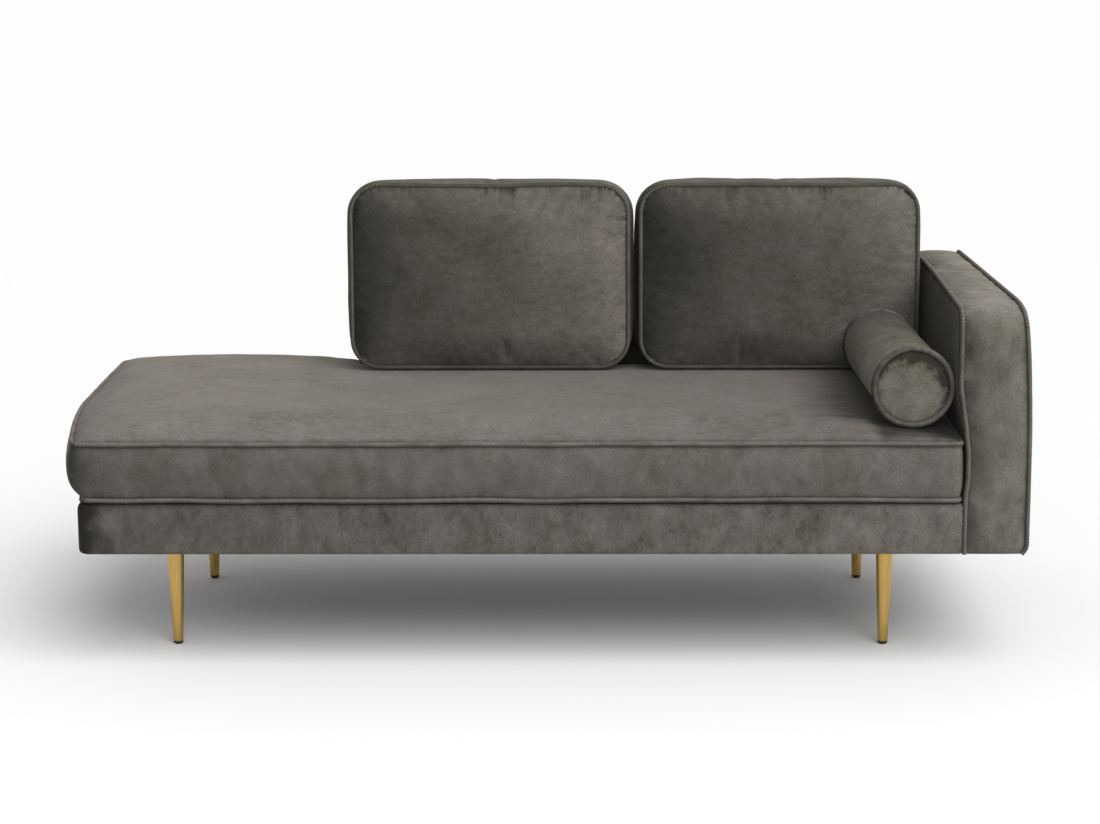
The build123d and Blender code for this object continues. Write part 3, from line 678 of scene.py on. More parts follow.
class MERIDIENNE_OT_seat(bpy.types.Operator):
    """Sew and fill the long boxed seat with its upper and lower welt"""

    bl_idname = "meridienne.seat"
    bl_label = "Seat cushion"

    def execute(self, context):
        size = sizes()
        upper = (top_welt_high.z + top_welt_low.z) / 2
        lower = (bottom_welt_high.z + bottom_welt_low.z) / 2
        left, right = top_welt_low.x + 0.003, top_welt_high.x - 0.001
        front, rear = top_welt_low.y + 0.003, top_welt_high.y - 0.003
        notch_x, notch_y = backrest_low.x - 0.007, backrest_low.y - 0.007
        across = np.concatenate([steps(left, notch_x, COVER_CELL), steps(notch_x, right, COVER_CELL)[1:]])
        up = np.concatenate([steps(front, notch_y, COVER_CELL), steps(notch_y, rear, COVER_CELL)[1:]])
        piece = flat_panel("seat_cover", across, up, (notch_x, notch_y))
        corners = [
            ((left, front), (1, 1), 0.022),
            ((right, front), (-1, 1), 0.014),
            ((right, notch_y), (-1, -1), 0.03),
            ((notch_x, rear), (-1, -1), 0.012),
            ((left, rear), (1, -1), 0.024),
        ]
        round_corners(piece, rim_order(piece), corners)
        flat = points(piece)
        flat[:, 0] += self.drawn_in(flat[:, 0], flat[:, 1], left, front, notch_x)
        place_points(piece, flat)
        inset_rim(piece, (0.0035, 0.004))
        shares = np.array([0, 0.04, 0.09, 0.17, 0.27, 0.38, 0.5, 0.62, 0.73, 0.83, 0.91, 0.96, 1.0])
        boxed = Boxed(piece, shares, upper - lower)
        x, y, share = boxed.flat[:, 0], boxed.flat[:, 1], boxed.share
        places = np.column_stack([x, y, lower + (upper - lower) * share])
        at_end = np.clip(-boxed.outward[:, 0], 0, 1) ** 2 * (x < notch_x - 0.1)
        free = np.where(x > notch_x + 0.02, np.clip(-boxed.outward[:, 1], 0, 1), 1.0)
        free *= np.clip((right - x) / 0.03, 0, 1)
        swell = np.sin(math.pi * share) ** 0.5
        tuck = 0.003 + (size.seat_tuck - 0.003) * at_end
        let_out = -tuck * (1 - share) ** 8 + (size.seat_bulge + 0.003 * at_end) * swell * free - 0.0035 * (1 - swell)
        places[:, :2] += boxed.outward * let_out[:, None]
        places[:, 0] += 0.010 * (1 - share) ** 8 * np.clip(1 - (x - left) / 0.2, 0, 1) ** 2
        bow = self.drawn_in(x, y, left, front, notch_x)
        forward = np.clip(1 - (y - front) / 0.6, 0, 1)
        end_insets = np.outer(1.75 - 0.75 * forward, (0, 0.012, 0.045, 0.09, 0.13, 0.18))
        crown = (
            rise(y - front, (0, 0.010, 0.034, 0.068, 0.105, 0.15))
            * np.array([rise(gap, insets) for gap, insets in zip(x - left - bow, end_insets)])
            * rise(right - x, (0, 0.03, 0.08, 0.13, 0.18, 0.22))
            * np.where(
                x < notch_x,
                rise(rear - y, (0, 0.010, 0.030, 0.055, 0.09, 0.13)),
                rise(np.maximum(0, notch_y - y), (0, 0.014, 0.03, 0.05, 0.065, 0.08)),
            )
            * np.where(y > notch_y, 0.45 + 0.55 * rise(notch_x - x, (0, 0.03, 0.07, 0.10, 0.125, 0.15)), 1.0)
        )
        plump = np.clip(boxed.away / 0.008, 0, 1) ** 0.5
        places[boxed.last, 2] += (0.004 * plump + size.seat_crown * crown)[boxed.last]
        lifted = 0.008 * np.clip(1 - (x - left) / 0.35, 0, 1) * np.clip((y - front - 0.06) / 0.5, 0, 1)
        places[:, 2] += lifted * share
        places[boxed.first, 2] = seat_low.z + 0.001
        wander = clouds_at(np.column_stack([x, y, share * 0]), 0.13, 3)
        places[boxed.on_rim, 2] += (wander * (0.0012 + 0.0014 * (1 - share)) + 0.001 * (1 - share))[boxed.on_rim]
        place_points(piece, places)
        sewn = boxed.sewn | (boxed.row == 0)
        inflate(piece, sewn, size.press, growth=0.004, reach=0.005)
        places = points(piece)
        dents = 0.0018 * clouds_at(places, 0.22, 11) + 0.0003 * clouds_at(places, 0.06, 12)
        dents *= np.where(boxed.last, 1.0, 0.7) * ~sewn
        places += outward_normals(piece) * dents[:, None]
        places[:, 0] = np.clip(places[:, 0], seat_low.x - 0.002, arm_inner_low.x - 0.0012)
        beside = places[:, 0] > backrest_low.x - 0.0015
        places[beside, 1] = np.minimum(places[beside, 1], backrest_low.y - 0.0015)
        places[:, 2] = np.minimum(places[:, 2], seat_high.z + 0.004 * np.clip((notch_x - 0.02 - x) / 0.2, 0, 1))
        place_points(piece, places)
        upper_seam, lower_seam = boxed.seam(boxed.rows), boxed.seam(0)
        tone = velvet("velvet_seat", colours().seat, seed=0.0, grain=(0.5, 1.2, 0.5), contrast=0.55)
        finish_cover(piece, tone, "chaise", ("seat_cushion", "seat_foam"))
        self.brush(piece, left, right, front)
        self.sew(upper_seam, "seat_upper_welt", "seat_top_welt", 31)
        self.sew(lower_seam, "seat_lower_welt", "seat_bottom_welt", 32)
        return {"FINISHED"}

    def brush(self, piece, left, right, front):
        """Lay the seat's pile with painted light and shade: the top lighter than the sides, painted shade at the free
        end's corner and in the nook by the arm, pressed pile with a painted shadow beside and below the bolster.
        """
        crease = pucker(piece, depth=0.0006, reach=0.012, seed=21)
        places = points(piece)
        x, y = places[:, 0], places[:, 1]
        upright = 1 - np.clip(outward_normals(piece)[:, 2], 0, 1) ** 2
        mottle_and_shade = 1 + upright * 0.16 * clouds_at(places * np.array([1, 1, 0.45]), 0.022, 25)
        along = x / 0.8
        # painted light: the top is painted lighter than the upright sides, with a gradient along the seat
        mottle_and_shade *= (0.95 - 0.15 * along) * (1 - upright) + (0.575 + 0.075 * along) * upright
        # painted shade: the sides at the free end's corner are darkened, as if turned from the light
        corner = np.clip(1 - (x - left - 0.05) / 0.05 - 0.5 * clouds_at(places, 0.03, 26), 0, 1)
        ragged = 0.03 * clouds_at(places * np.array([0.35, 2.2, 1]), 0.03, 27)
        # pressed pile and painted shadow of the bolster, beside it and, stronger, below and in front of it
        pressed_pile_and_shadow = np.clip((x - bolster_low.x + 0.125 + ragged) / 0.095, 0, 1)
        below = np.clip((x - bolster_low.x + 0.01) / 0.03, 0, 1)
        pressed_pile_and_shadow *= np.clip((y - front - 0.03 + 0.035 * below + ragged) / (0.05 - 0.02 * below), 0, 1)
        pressed_pile_and_shadow *= np.clip(0.75 - 1.6 * y, 0.5, 1)
        # painted shade in the nook between the seat and the arm
        nook_shade = np.exp(-(((right - x) / 0.035) ** 2)) * np.clip((y - front - 0.01) / 0.02, 0, 1)
        mottle_and_shade *= 1 - 0.85 * nook_shade
        mottle_and_shade *= (1 - 0.35 * corner * upright) * (1 - (0.76 + 0.12 * below) * pressed_pile_and_shadow * (1 - upright))
        # painted shade in the creases
        pile = 0.94 * (1 - 0.3 * crease) * mottle_and_shade
        # painted shade by the way each place faces: darker where it faces left
        lay_pile_and_shade(piece, lean=(0.68, 0.0, 0.0), limits=(0.28, 1.35), extra=pile)

    def drawn_in(self, x, y, left, front, notch_x):
        """How far the free end is pulled in towards its front corner."""
        forward = np.clip(1 - (y - front) / 0.33, 0, 1) ** 1.6
        return 0.044 * forward * np.clip((notch_x - x) / (notch_x - left), 0, 1)

    def sew(self, seam, name, node, seed):
        """Set a welt just outside a seam."""
        outward = outside(seam, np.array([1.0, 0, 0]), np.array([0, 1.0, 0]))
        path = seam + outward * np.where(outward[:, :1] < -0.4, 0.0012, 0.0030)
        path[:, 0] = np.minimum(path[:, 0], arm_inner_low.x - 0.0055)
        beside = path[:, 0] > backrest_low.x - 0.006
        path[beside, 1] = np.minimum(path[beside, 1], backrest_low.y - 0.0056)
        welt(name, path, True, bpy.data.materials["velvet_welt"], "chaise", (node,), seed)


class MERIDIENNE_OT_back_cushions(bpy.types.Operator):
    """Sew and fill the two loose back cushions with their front and rear welts"""

    bl_idname = "meridienne.back_cushions"
    bl_label = "Back cushions"

    def execute(self, context):
        for side, seed, shift, light in (("left", 40, 0.002, 0.05), ("right", 60, -0.003, -0.01)):
            self.cushion(side, seed, shift, light)
        return {"FINISHED"}

    def cushion(self, side, seed, shift, light):
        """One cushion, modelled flat and then leant against the backrest."""
        size = sizes()
        low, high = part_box(f"{side}_back_cushion")
        welt_low, welt_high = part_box(f"{side}_back_welts")
        lean = size.back_lean
        half = (welt_high.x - welt_low.x) / 2 - 0.004 - abs(shift)
        middle = (welt_high.x + welt_low.x) / 2 + shift
        foot = 0.006
        height = (welt_high.z - welt_low.z) / math.cos(lean) - size.back_depth * math.tan(lean) - 0.003
        top = foot + height
        piece = flat_panel(f"{side}_back_cover", steps(-half, half, BACK_CELL), steps(foot, top, BACK_CELL))
        corner = size.back_corner
        corners = [
            ((-half, foot), (1, 1), corner),
            ((half, foot), (-1, 1), corner),
            ((half, top), (-1, -1), corner),
            ((-half, top), (1, -1), corner),
        ]
        round_corners(piece, rim_order(piece), corners)
        inset_rim(piece, (0.003, 0.0035))
        shares = np.array([0, 0.03, 0.07, 0.14, 0.24, 0.36, 0.5, 0.64, 0.76, 0.86, 0.93, 0.97, 1.0])
        boxed = Boxed(piece, shares, size.back_depth)
        x, y, share = boxed.flat[:, 0], boxed.flat[:, 1], boxed.share
        places = np.column_stack([x, y, share * size.back_depth])
        standing = np.clip(-boxed.outward[:, 1], 0, 1)
        swell = np.sin(math.pi * share) ** 0.55
        let_out = size.back_bulge * swell * (1 - standing) - 0.003 * (1 - swell)
        places[:, :2] += boxed.outward * let_out[:, None]
        places[:, 1] -= np.where(y > top / 2, 0.011 * share * (y - top / 2) / (top / 2), 0)
        broad = np.clip(1 - (x / half) ** 2, 0, 1) ** 0.8 * rise(boxed.away, (0, 0.008, 0.022, 0.045, 0.07, 0.11))
        edge = rise(boxed.away, (0, 0.005, 0.014, 0.028, 0.045, 0.07))
        places[boxed.first, 2] -= (0.007 * edge + size.back_crown * broad)[boxed.first]
        places[boxed.last, 2] += (0.008 * edge + (size.back_rear_crown - 0.006) * broad)[boxed.last]
        wander = clouds_at(np.column_stack([x, y, share]), 0.14, seed)
        above = np.clip(boxed.outward[:, 1], 0, 1)
        places[boxed.on_rim, 1] += (0.0032 * wander * above)[boxed.on_rim]
        places[boxed.on_rim, 2] += (0.0016 * wander)[boxed.on_rim]
        side_way = np.array([1.0, 0, 0])
        up = np.array([0, math.sin(lean), math.cos(lean)])
        back = np.array([0, math.cos(lean), -math.sin(lean)])
        seam_y = high.y - (size.back_depth + 0.023) * math.cos(lean) - (top - 0.095) * math.sin(lean)
        origin = np.array([middle, seam_y, welt_low.z + size.back_depth * math.sin(lean)])
        place_points(piece, origin + places[:, :1] * side_way + places[:, 1:2] * up + places[:, 2:] * back)
        outward_facing(piece)
        inflate(piece, boxed.sewn, size.press, growth=0.004, reach=0.005)
        world = points(piece)
        dents = 0.0016 * clouds_at(world, 0.11, seed + 6) + 0.0006 * clouds_at(world, 0.035, seed + 7)
        world += outward_normals(piece) * (dents * ~boxed.sewn)[:, None]
        world[:, 0] = np.clip(world[:, 0], low.x - 0.0004, high.x + 0.0002)
        world[:, 1] = np.minimum(world[:, 1], high.y + 0.0001)
        world[:, 2] = np.maximum(world[:, 2], low.z)
        place_points(piece, world)
        seams = boxed.seam(0), boxed.seam(boxed.rows)
        body = f"{side}_back_cushion"
        label, start = f"velvet_{side}_back", 1.7 + seed / 20
        tone = velvet(label, colours().back, seed=start, grain=(0.7, 1.0, 1.25), contrast=0.8)
        finish_cover(piece, tone, body, (f"{side}_back_cushion", f"{side}_back_core"))
        level = (points(piece)[:, 2] - low.z) / (high.z - low.z)
        head = np.clip(level * 2 - 0.7, 0.12, 1) * recall(piece, "panel")
        crease = pucker(piece, depth=0.0026 * head, reach=0.020, seed=seed + 1) * head
        places, normals = points(piece), outward_normals(piece)
        facing = np.clip(-normals[:, 1], 0, 1)
        # painted light and shade: the top of the cushion lighter and its sides darker than its front
        turned = 1 - 0.4 * (1 - facing) + 0.6 * np.clip(normals[:, 2], 0, 1) ** 2
        across = (places[:, 0] - middle) / half
        # painted shade: the front darkens to the left and lightens to the right, as if lit from the right, with
        # random clouds of pile
        brushed = 1 + 0.36 * facing * across + 0.2 * facing * clouds_at(places, 0.10, seed + 9)
        # painted light: a lighter middle across the front, set per cushion
        brushed += light * facing * (1 - across**2)
        # painted light: a lighter band along the foot of the cushion
        for share, reach in ((0.55, 0.036), (0.15, 0.09)):
            brushed += share * np.exp(-(((places[:, 2] - low.z) / reach) ** 2))
        # painted shade in the creases
        pile = 0.90 * (1 - 0.5 * crease) * brushed * turned
        # painted light and shade by the way each place faces: darker to the left
        lay_pile_and_shade(piece, lean=(1.3, 0.0, 0.10), limits=(0.26, 1.5), extra=pile, seam_shade=0.3)
        names = ((f"{side}_back_front_welt", (f"{side}_back_welts",), 8), (f"{side}_back_rear_welt", (), 9))
        for path, (name, nodes, step) in zip(seams, names):
            path = path + 0.0024 * outside(path, side_way, up)
            path[:, 0] = np.clip(path[:, 0], low.x + 0.004, high.x - 0.004)
            path[:, 2] = np.maximum(path[:, 2], low.z + 0.0042)
            strip = bpy.data.materials["velvet_back_welt"]
            welt(name, path, True, strip, body, nodes, seed + step, ribbing=1.5, upward=-0.15)


class MERIDIENNE_OT_bolster(bpy.types.Operator):
    """Roll the bolster and sew its end discs"""

    bl_idname = "meridienne.bolster"
    bl_label = "Bolster"

    def execute(self, context):
        size = sizes()
        ring_low, ring_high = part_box("bolster_welts")
        radius = (bolster_high.x - bolster_low.x) / 2 - 0.0015
        axis_x, axis_z = (bolster_low.x + bolster_high.x) / 2, bolster_low.z + radius + 0.0070
        front, rear = ring_low.y + 0.00475, ring_high.y - 0.00475
        piece = self.roll(radius, axis_x, axis_z, front, rear)
        places = points(piece)
        middle = (front + rear) / 2
        spoke = np.hypot(places[:, 0] - axis_x, places[:, 2] - axis_z)
        at_end = (np.abs(places[:, 1] - front) < 1e-5) | (np.abs(places[:, 1] - rear) < 1e-5)
        seam = at_end & (spoke > radius - 1e-4)
        disc = at_end & ~seam
        reach = np.minimum(places[:, 1] - front, rear - places[:, 1])
        away = np.where(at_end, radius - spoke, reach)
        angle = np.arctan2(places[:, 2] - axis_z, places[:, 0] - axis_x)
        root = np.column_stack([radius * np.cos(angle), radius * np.sin(angle), np.where(at_end, 1.0, 0.0)])
        outward = np.where(places[:, 1] < middle, -1.0, 1.0)
        dome = 0.004 * np.clip(away / 0.008, 0, 1) ** 0.5 + 0.005 * (1 - (spoke / radius) ** 2)
        places[disc, 1] += (outward * dome)[disc]
        full = np.where(at_end, 0.965, 0.975 + 0.02 * np.clip(reach / 0.02, 0, 1) ** 0.6)
        full -= 0.07 * np.clip(1 - (rear - places[:, 1]) / 0.04, 0, 1) ** 2
        places[:, 0] = axis_x + (places[:, 0] - axis_x) * full
        places[:, 2] = axis_z + (places[:, 2] - axis_z) * full
        place_points(piece, places)
        store(piece, "away", away)
        store(piece, "root", root)
        inflate(piece, seam, size.press, growth=0.003, reach=0.003)
        places = points(piece)
        places += outward_normals(piece) * (0.0010 * clouds_at(places, 0.09, 81) * ~seam)[:, None]
        places[:, 2] = np.maximum(places[:, 2], bolster_low.z)
        rims = places[seam]
        place_points(piece, places)
        tone = velvet("velvet_bolster", colours().bolster, seed=5.1, grain=(1.0, 0.5, 1.0), contrast=0.8)
        finish_cover(piece, tone, "bolster", ("bolster", "bolster_core"))
        crease = pucker(piece, depth=0.0008, reach=0.014, seed=82)
        places = points(piece)
        lift = np.hypot(places[:, 0] - axis_x + 0.10 * radius, places[:, 2] - axis_z + 0.22 * radius) / radius
        ragged = 0.8 * clouds_at(places, 0.016, 83) + 0.5 * clouds_at(places, 0.006, 88)
        crescent = np.clip((lift - 0.78) / 0.20 + ragged, 0, 1) * (places[:, 1] < front)
        patches_and_shade = 1 + np.where(places[:, 1] < front, 0.2, 0.12) * clouds_at(places, 0.03, 84)
        # painted shade: the body is painted darker towards its far end, over random patches of pile
        rearward = np.clip((places[:, 1] - front) / (rear - front), 0, 1)
        patches_and_shade *= np.where(places[:, 1] < front, 0.95, 1.5 - rearward)
        # painted shade in the creases
        pile = 0.86 * (1 - 0.3 * crease) * (1 - 0.72 * crescent) * patches_and_shade
        # painted light and shade by the way each place faces
        lay_pile_and_shade(piece, lean=(0.14, -0.16, -0.14), limits=(0.4, 1.4), extra=pile)
        place_points(piece, self.turned_in(places, front))
        for name, near, nodes, seed in (("front", True, ("bolster_welts",), 85), ("rear", False, (), 86)):
            ring = rims[(rims[:, 1] < middle) == near]
            ring = ring[np.argsort(np.arctan2(ring[:, 2] - axis_z, ring[:, 0] - axis_x))]
            spread = ring - np.array([axis_x, 0, axis_z])
            spread[:, 1] = 0
            ring = ring + spread / np.linalg.norm(spread, axis=1, keepdims=True) * 0.0022
            ring[:, 2] = np.maximum(ring[:, 2], bolster_low.z + 0.0046)
            path = self.turned_in(ring, front)
            label, strip = f"bolster_{name}_welt", bpy.data.materials["velvet_welt"]
            cord = welt(label, path, True, strip, "bolster", nodes, seed, ribbing=0.15, thickness=1.3)
            places = points(cord)
            # painted shade: the ring darkens towards its left side, away from the light, with random mottle of the
            # pile
            cord_shade_and_mottle = np.clip(0.3 - 0.6 * (places[:, 0] - axis_x) / radius + 0.9 * clouds_at(places, 0.010, 87), 0, 1)
            store(cord, "nap", recall(cord, "nap") * (1 - 0.5 * cord_shade_and_mottle)[:, None])
        return {"FINISHED"}

    def turned_in(self, places, front):
        """The bolster lies a little askew: its far end points away from the arm."""
        places = places.copy()
        places[:, 0] -= 0.024 * (places[:, 1] - front)
        return places

    def roll(self, radius, axis_x, axis_z, front, rear):
        """A cylinder with rows along it and rings on its end discs."""
        bpy.ops.object.select_all(action="DESELECT")
        bpy.ops.mesh.primitive_cylinder_add(
            vertices=128,
            radius=radius,
            depth=rear - front,
            location=(axis_x, (front + rear) / 2, axis_z),
            rotation=(math.pi / 2, 0, 0),
        )
        piece = bpy.context.object
        piece.name = piece.data.name = "bolster_cover"
        bpy.ops.object.transform_apply(location=True, rotation=True, scale=True)
        along = points(piece)[:, 1]
        edit(piece, "EDGE", lambda edge: abs(along[edge.vertices[0]] - along[edge.vertices[1]]) > 0.1)
        bpy.ops.mesh.subdivide_edgering(number_cuts=64)
        edit(piece, "FACE", lambda face: len(face.vertices) > 8)
        for _ in range(14):
            bpy.ops.mesh.inset(thickness=radius / 15.5)
        bpy.ops.mesh.poke()
        leave_edit()
        return piece


class MERIDIENNE_OT_arm(bpy.types.Operator):
    """Upholster the arm: two side panels, the strip between them and their welts"""

    bl_idname = "meridienne.arm"
    bl_label = "Arm"

    def execute(self, context):
        size = sizes()
        front, rear = arm_low.y, arm_high.y
        foot, top = arm_low.z, arm_high.z
        inner, outer = arm_inner_low.x, arm_outer_high.x
        piece = flat_panel("arm_cover", steps(front, rear, COVER_CELL), steps(foot, top, COVER_CELL))
        corners = [((front, top), (1, -1), 0.026), ((rear, top), (-1, -1), 0.045)]
        round_corners(piece, rim_order(piece), corners)
        inset_rim(piece, (0.0035, 0.004))
        shares = np.array([0, 0.035, 0.08, 0.16, 0.26, 0.38, 0.5, 0.62, 0.74, 0.84, 0.92, 0.965, 1.0])
        boxed = Boxed(piece, shares, outer - inner)
        y, z, share = boxed.flat[:, 0], boxed.flat[:, 1], boxed.share
        at_foot = z < foot + 1e-4
        swell = np.sin(math.pi * share) ** 0.5
        let_out = 0.0015 * swell - 0.004 * (1 - swell)
        x = inner + (outer - inner) * share
        lift = np.where(at_foot, 0, boxed.outward[:, 1] * let_out)
        places = np.column_stack([x, y + boxed.outward[:, 0] * let_out, z + lift])
        plump = 0.0035 * np.clip(boxed.away / 0.012, 0, 1) ** 0.5
        places[boxed.first, 0] -= (np.minimum(plump, 0.0020) * (z > seat_high.z))[boxed.first]
        places[boxed.last, 0] += plump[boxed.last]
        low = np.clip((foot + 0.016 - z) / 0.016, 0, 1) ** 2
        places[:, 0] -= 0.009 * low * np.clip(share * 3 - 2, 0, 1)
        squeezed = np.exp(-(((z - 0.362) / 0.050) ** 4)) * np.exp(-np.clip(y - front, 0, None) / 0.05)
        places[:, 0] += 0.006 * squeezed * np.clip(1 - share * 2.2, 0, 1)
        shoulder = np.exp(-((np.hypot(y - front, z - top) / 0.05) ** 2)) * np.clip(share * 1.5 - 0.5, 0, 1)
        places[:, 1] += 0.010 * shoulder
        places[:, 2] -= 0.010 * shoulder
        taper = np.clip((z - 0.40) / (top - 0.40), 0, 1)
        rearward = (y - front) / (rear - front)
        lean = 0.010 * taper**1.5 + 0.012 * rearward * taper**3
        places[:, 0] -= lean * share + self.swelling(y, z) * (1 - share)
        places[:, 2] += 0.005 * taper
        place_points(piece, places)
        sewn = boxed.sewn | at_foot | (boxed.first & (z < seat_high.z))
        inflate(piece, sewn, size.press * 0.6, growth=0.006, reach=0.003)
        places = points(piece)
        dents = 0.0012 * clouds_at(places, 0.12, 91) + 0.0005 * clouds_at(places, 0.035, 92)
        strip = boxed.on_rim & ~boxed.sewn & (z > top - 0.03)
        dents += np.where(strip, 0.0007 * clouds_at(places * np.array([0.25, 1, 1]), 0.018, 93), 0)
        places += outward_normals(piece) * (dents * ~sewn)[:, None]
        places[:, 0] = np.clip(places[:, 0], inner - 0.0022 - self.swelling(y, z), outer + 0.004)
        places[:, 1] = np.clip(places[:, 1], front - 0.004, rear + 0.003)
        place_points(piece, places)
        inner_seam, outer_seam = boxed.seam(0), boxed.seam(boxed.rows)
        tone = velvet("velvet_arm", colours().arm, seed=7.3, grain=(1.0, 1.0, 0.6), contrast=0.7)
        covers = ("arm_gusset", "arm_inner_cover", "arm_outer_cover")
        foams = ("arm_edge_foam", "arm_inner_foam", "arm_outer_foam")
        finish_cover(piece, tone, "chaise", covers + foams)
        crease = pucker(piece, depth=0.0012, reach=0.014, seed=94)
        turned = np.clip(-outward_normals(piece)[:, 0], 0, 1)
        upward = np.clip(outward_normals(piece)[:, 2], 0, 1) ** 2
        places = points(piece)
        # painted light: upward faces are lighter; the clouds are the pile's random tone
        mottle_and_shade = 1 + 0.45 * upward + 0.18 * clouds_at(places * np.array([1, 1, 0.6]), 0.035, 97)
        # painted shade in blotches on the front beside the inner edge
        beside = np.exp(-(((places[:, 0] - inner) / 0.024) ** 2)) * (1 - turned) * (1 - upward)
        mottle_and_shade *= 1 - 0.5 * beside * np.clip(0.35 + 1.3 * clouds_at(places, 0.03, 98), 0, 1)
        # painted shade: the inner face towards the seat is painted nearly black, and the creases darker
        shaded = 1 - np.clip((places[:, 2] - 0.45) * 0.6, 0.03, 0.09)
        pile = 0.92 * (1 - 0.3 * crease) * mottle_and_shade * (1 - turned * shaded)
        # painted light and shade by the way each place faces: darker to the left
        lay_pile_and_shade(piece, lean=(0.65, 0.0, 0.15), limits=(0.3, 1.5), extra=pile)
        cords = (
            (inner_seam, "arm_inner_cord", "arm_inner_welt", 95),
            (outer_seam, "arm_outer_cord", "arm_outer_welt", 96),
        )
        for path, name, node, seed in cords:
            down = np.flatnonzero(path[:, 2] < foot + 0.002)
            start = next(step for step in down if path[(step + 1) % len(path), 2] > foot + 0.002)
            path = np.roll(path, -start, axis=0)
            path = path[: np.flatnonzero(path[1:, 2] < foot + 0.002)[0] + 2]
            ahead = np.gradient(path, axis=0)
            outward = np.column_stack([np.zeros(len(path)), ahead[:, 2], -ahead[:, 1]])
            outward /= np.linalg.norm(outward, axis=1, keepdims=True) + 1e-12
            path = path + outward * 0.0030
            path[:, 0] = np.maximum(path[:, 0], inner + 0.0022 - self.swelling(path[:, 1], path[:, 2]))
            path[:, 2] = np.maximum(path[:, 2], foot + 0.001)
            welt(name, path, False, bpy.data.materials["velvet_welt"], "chaise", (node,), seed)
        return {"FINISHED"}

    def swelling(self, y, z):
        """How far the padding swells inward above the seat, in front of the back cushions."""
        return 0.012 * np.clip((z - 0.42) / 0.08, 0, 1) * np.clip((0.06 - y) / 0.40, 0, 1)


class MERIDIENNE_OT_backrest(bpy.types.Operator):
    """Upholster the low backrest behind the cushions"""

    bl_idname = "meridienne.backrest"
    bl_label = "Backrest"

    def execute(self, context):
        size = sizes()
        left, right = backrest_low.x, backrest_high.x
        foot, top = backrest_low.z, backrest_high.z
        front, rear = backrest_low.y, backrest_high.y
        piece = flat_panel("backrest_cover", steps(left, right, BACKREST_CELL), steps(foot, top, BACKREST_CELL))
        round_corners(piece, rim_order(piece), [((left, top), (1, -1), 0.028)])
        inset_rim(piece, (0.004,))
        boxed = Boxed(piece, np.array([0, 0.05, 0.12, 0.26, 0.42, 0.58, 0.74, 0.88, 0.95, 1.0]), rear - front)
        x, z, share = boxed.flat[:, 0], boxed.flat[:, 1], boxed.share
        held = (z < foot + 1e-4) | (x > right - 1e-4)
        drawn = np.where(held, 0, 0.006 * np.clip(1 - np.minimum(share, 1 - share) / 0.14, 0, 1) ** 2)
        depth = front + (rear - front) * share
        places = np.column_stack([x - boxed.outward[:, 0] * drawn, depth, z - boxed.outward[:, 1] * drawn])
        place_points(piece, places)
        outward_facing(piece)
        sewn = held | boxed.sewn | (boxed.first & (z < seat_high.z + 0.01))
        inflate(piece, sewn, size.press * 0.4, growth=0.002, reach=0.002)
        places = points(piece)
        places += outward_normals(piece) * (0.0008 * clouds_at(places, 0.15, 101) * ~sewn)[:, None]
        places[:, 1] = np.clip(places[:, 1], front + 0.0002, rear + 0.003)
        places[:, 2] = np.minimum(places[:, 2], top + 0.002)
        places[:, 0] = np.clip(places[:, 0], left - 0.001, right)
        place_points(piece, places)
        tone = velvet("velvet_backrest", colours().side, seed=9.9, grain=(0.6, 1.0, 1.0), contrast=0.6)
        covers = ("backrest_front_cover", "backrest_edge_cover", "backrest_back_panel")
        finish_cover(piece, tone, "chaise", covers + ("backrest_front_foam", "backrest_edge_foam"))
        # painted light and shade by the way each place faces, and painted shade in the seams
        lay_pile_and_shade(piece, lean=(0.35, 0.0, 0.15), limits=(0.5, 1.35), seam_shade=0.25)
        return {"FINISHED"}


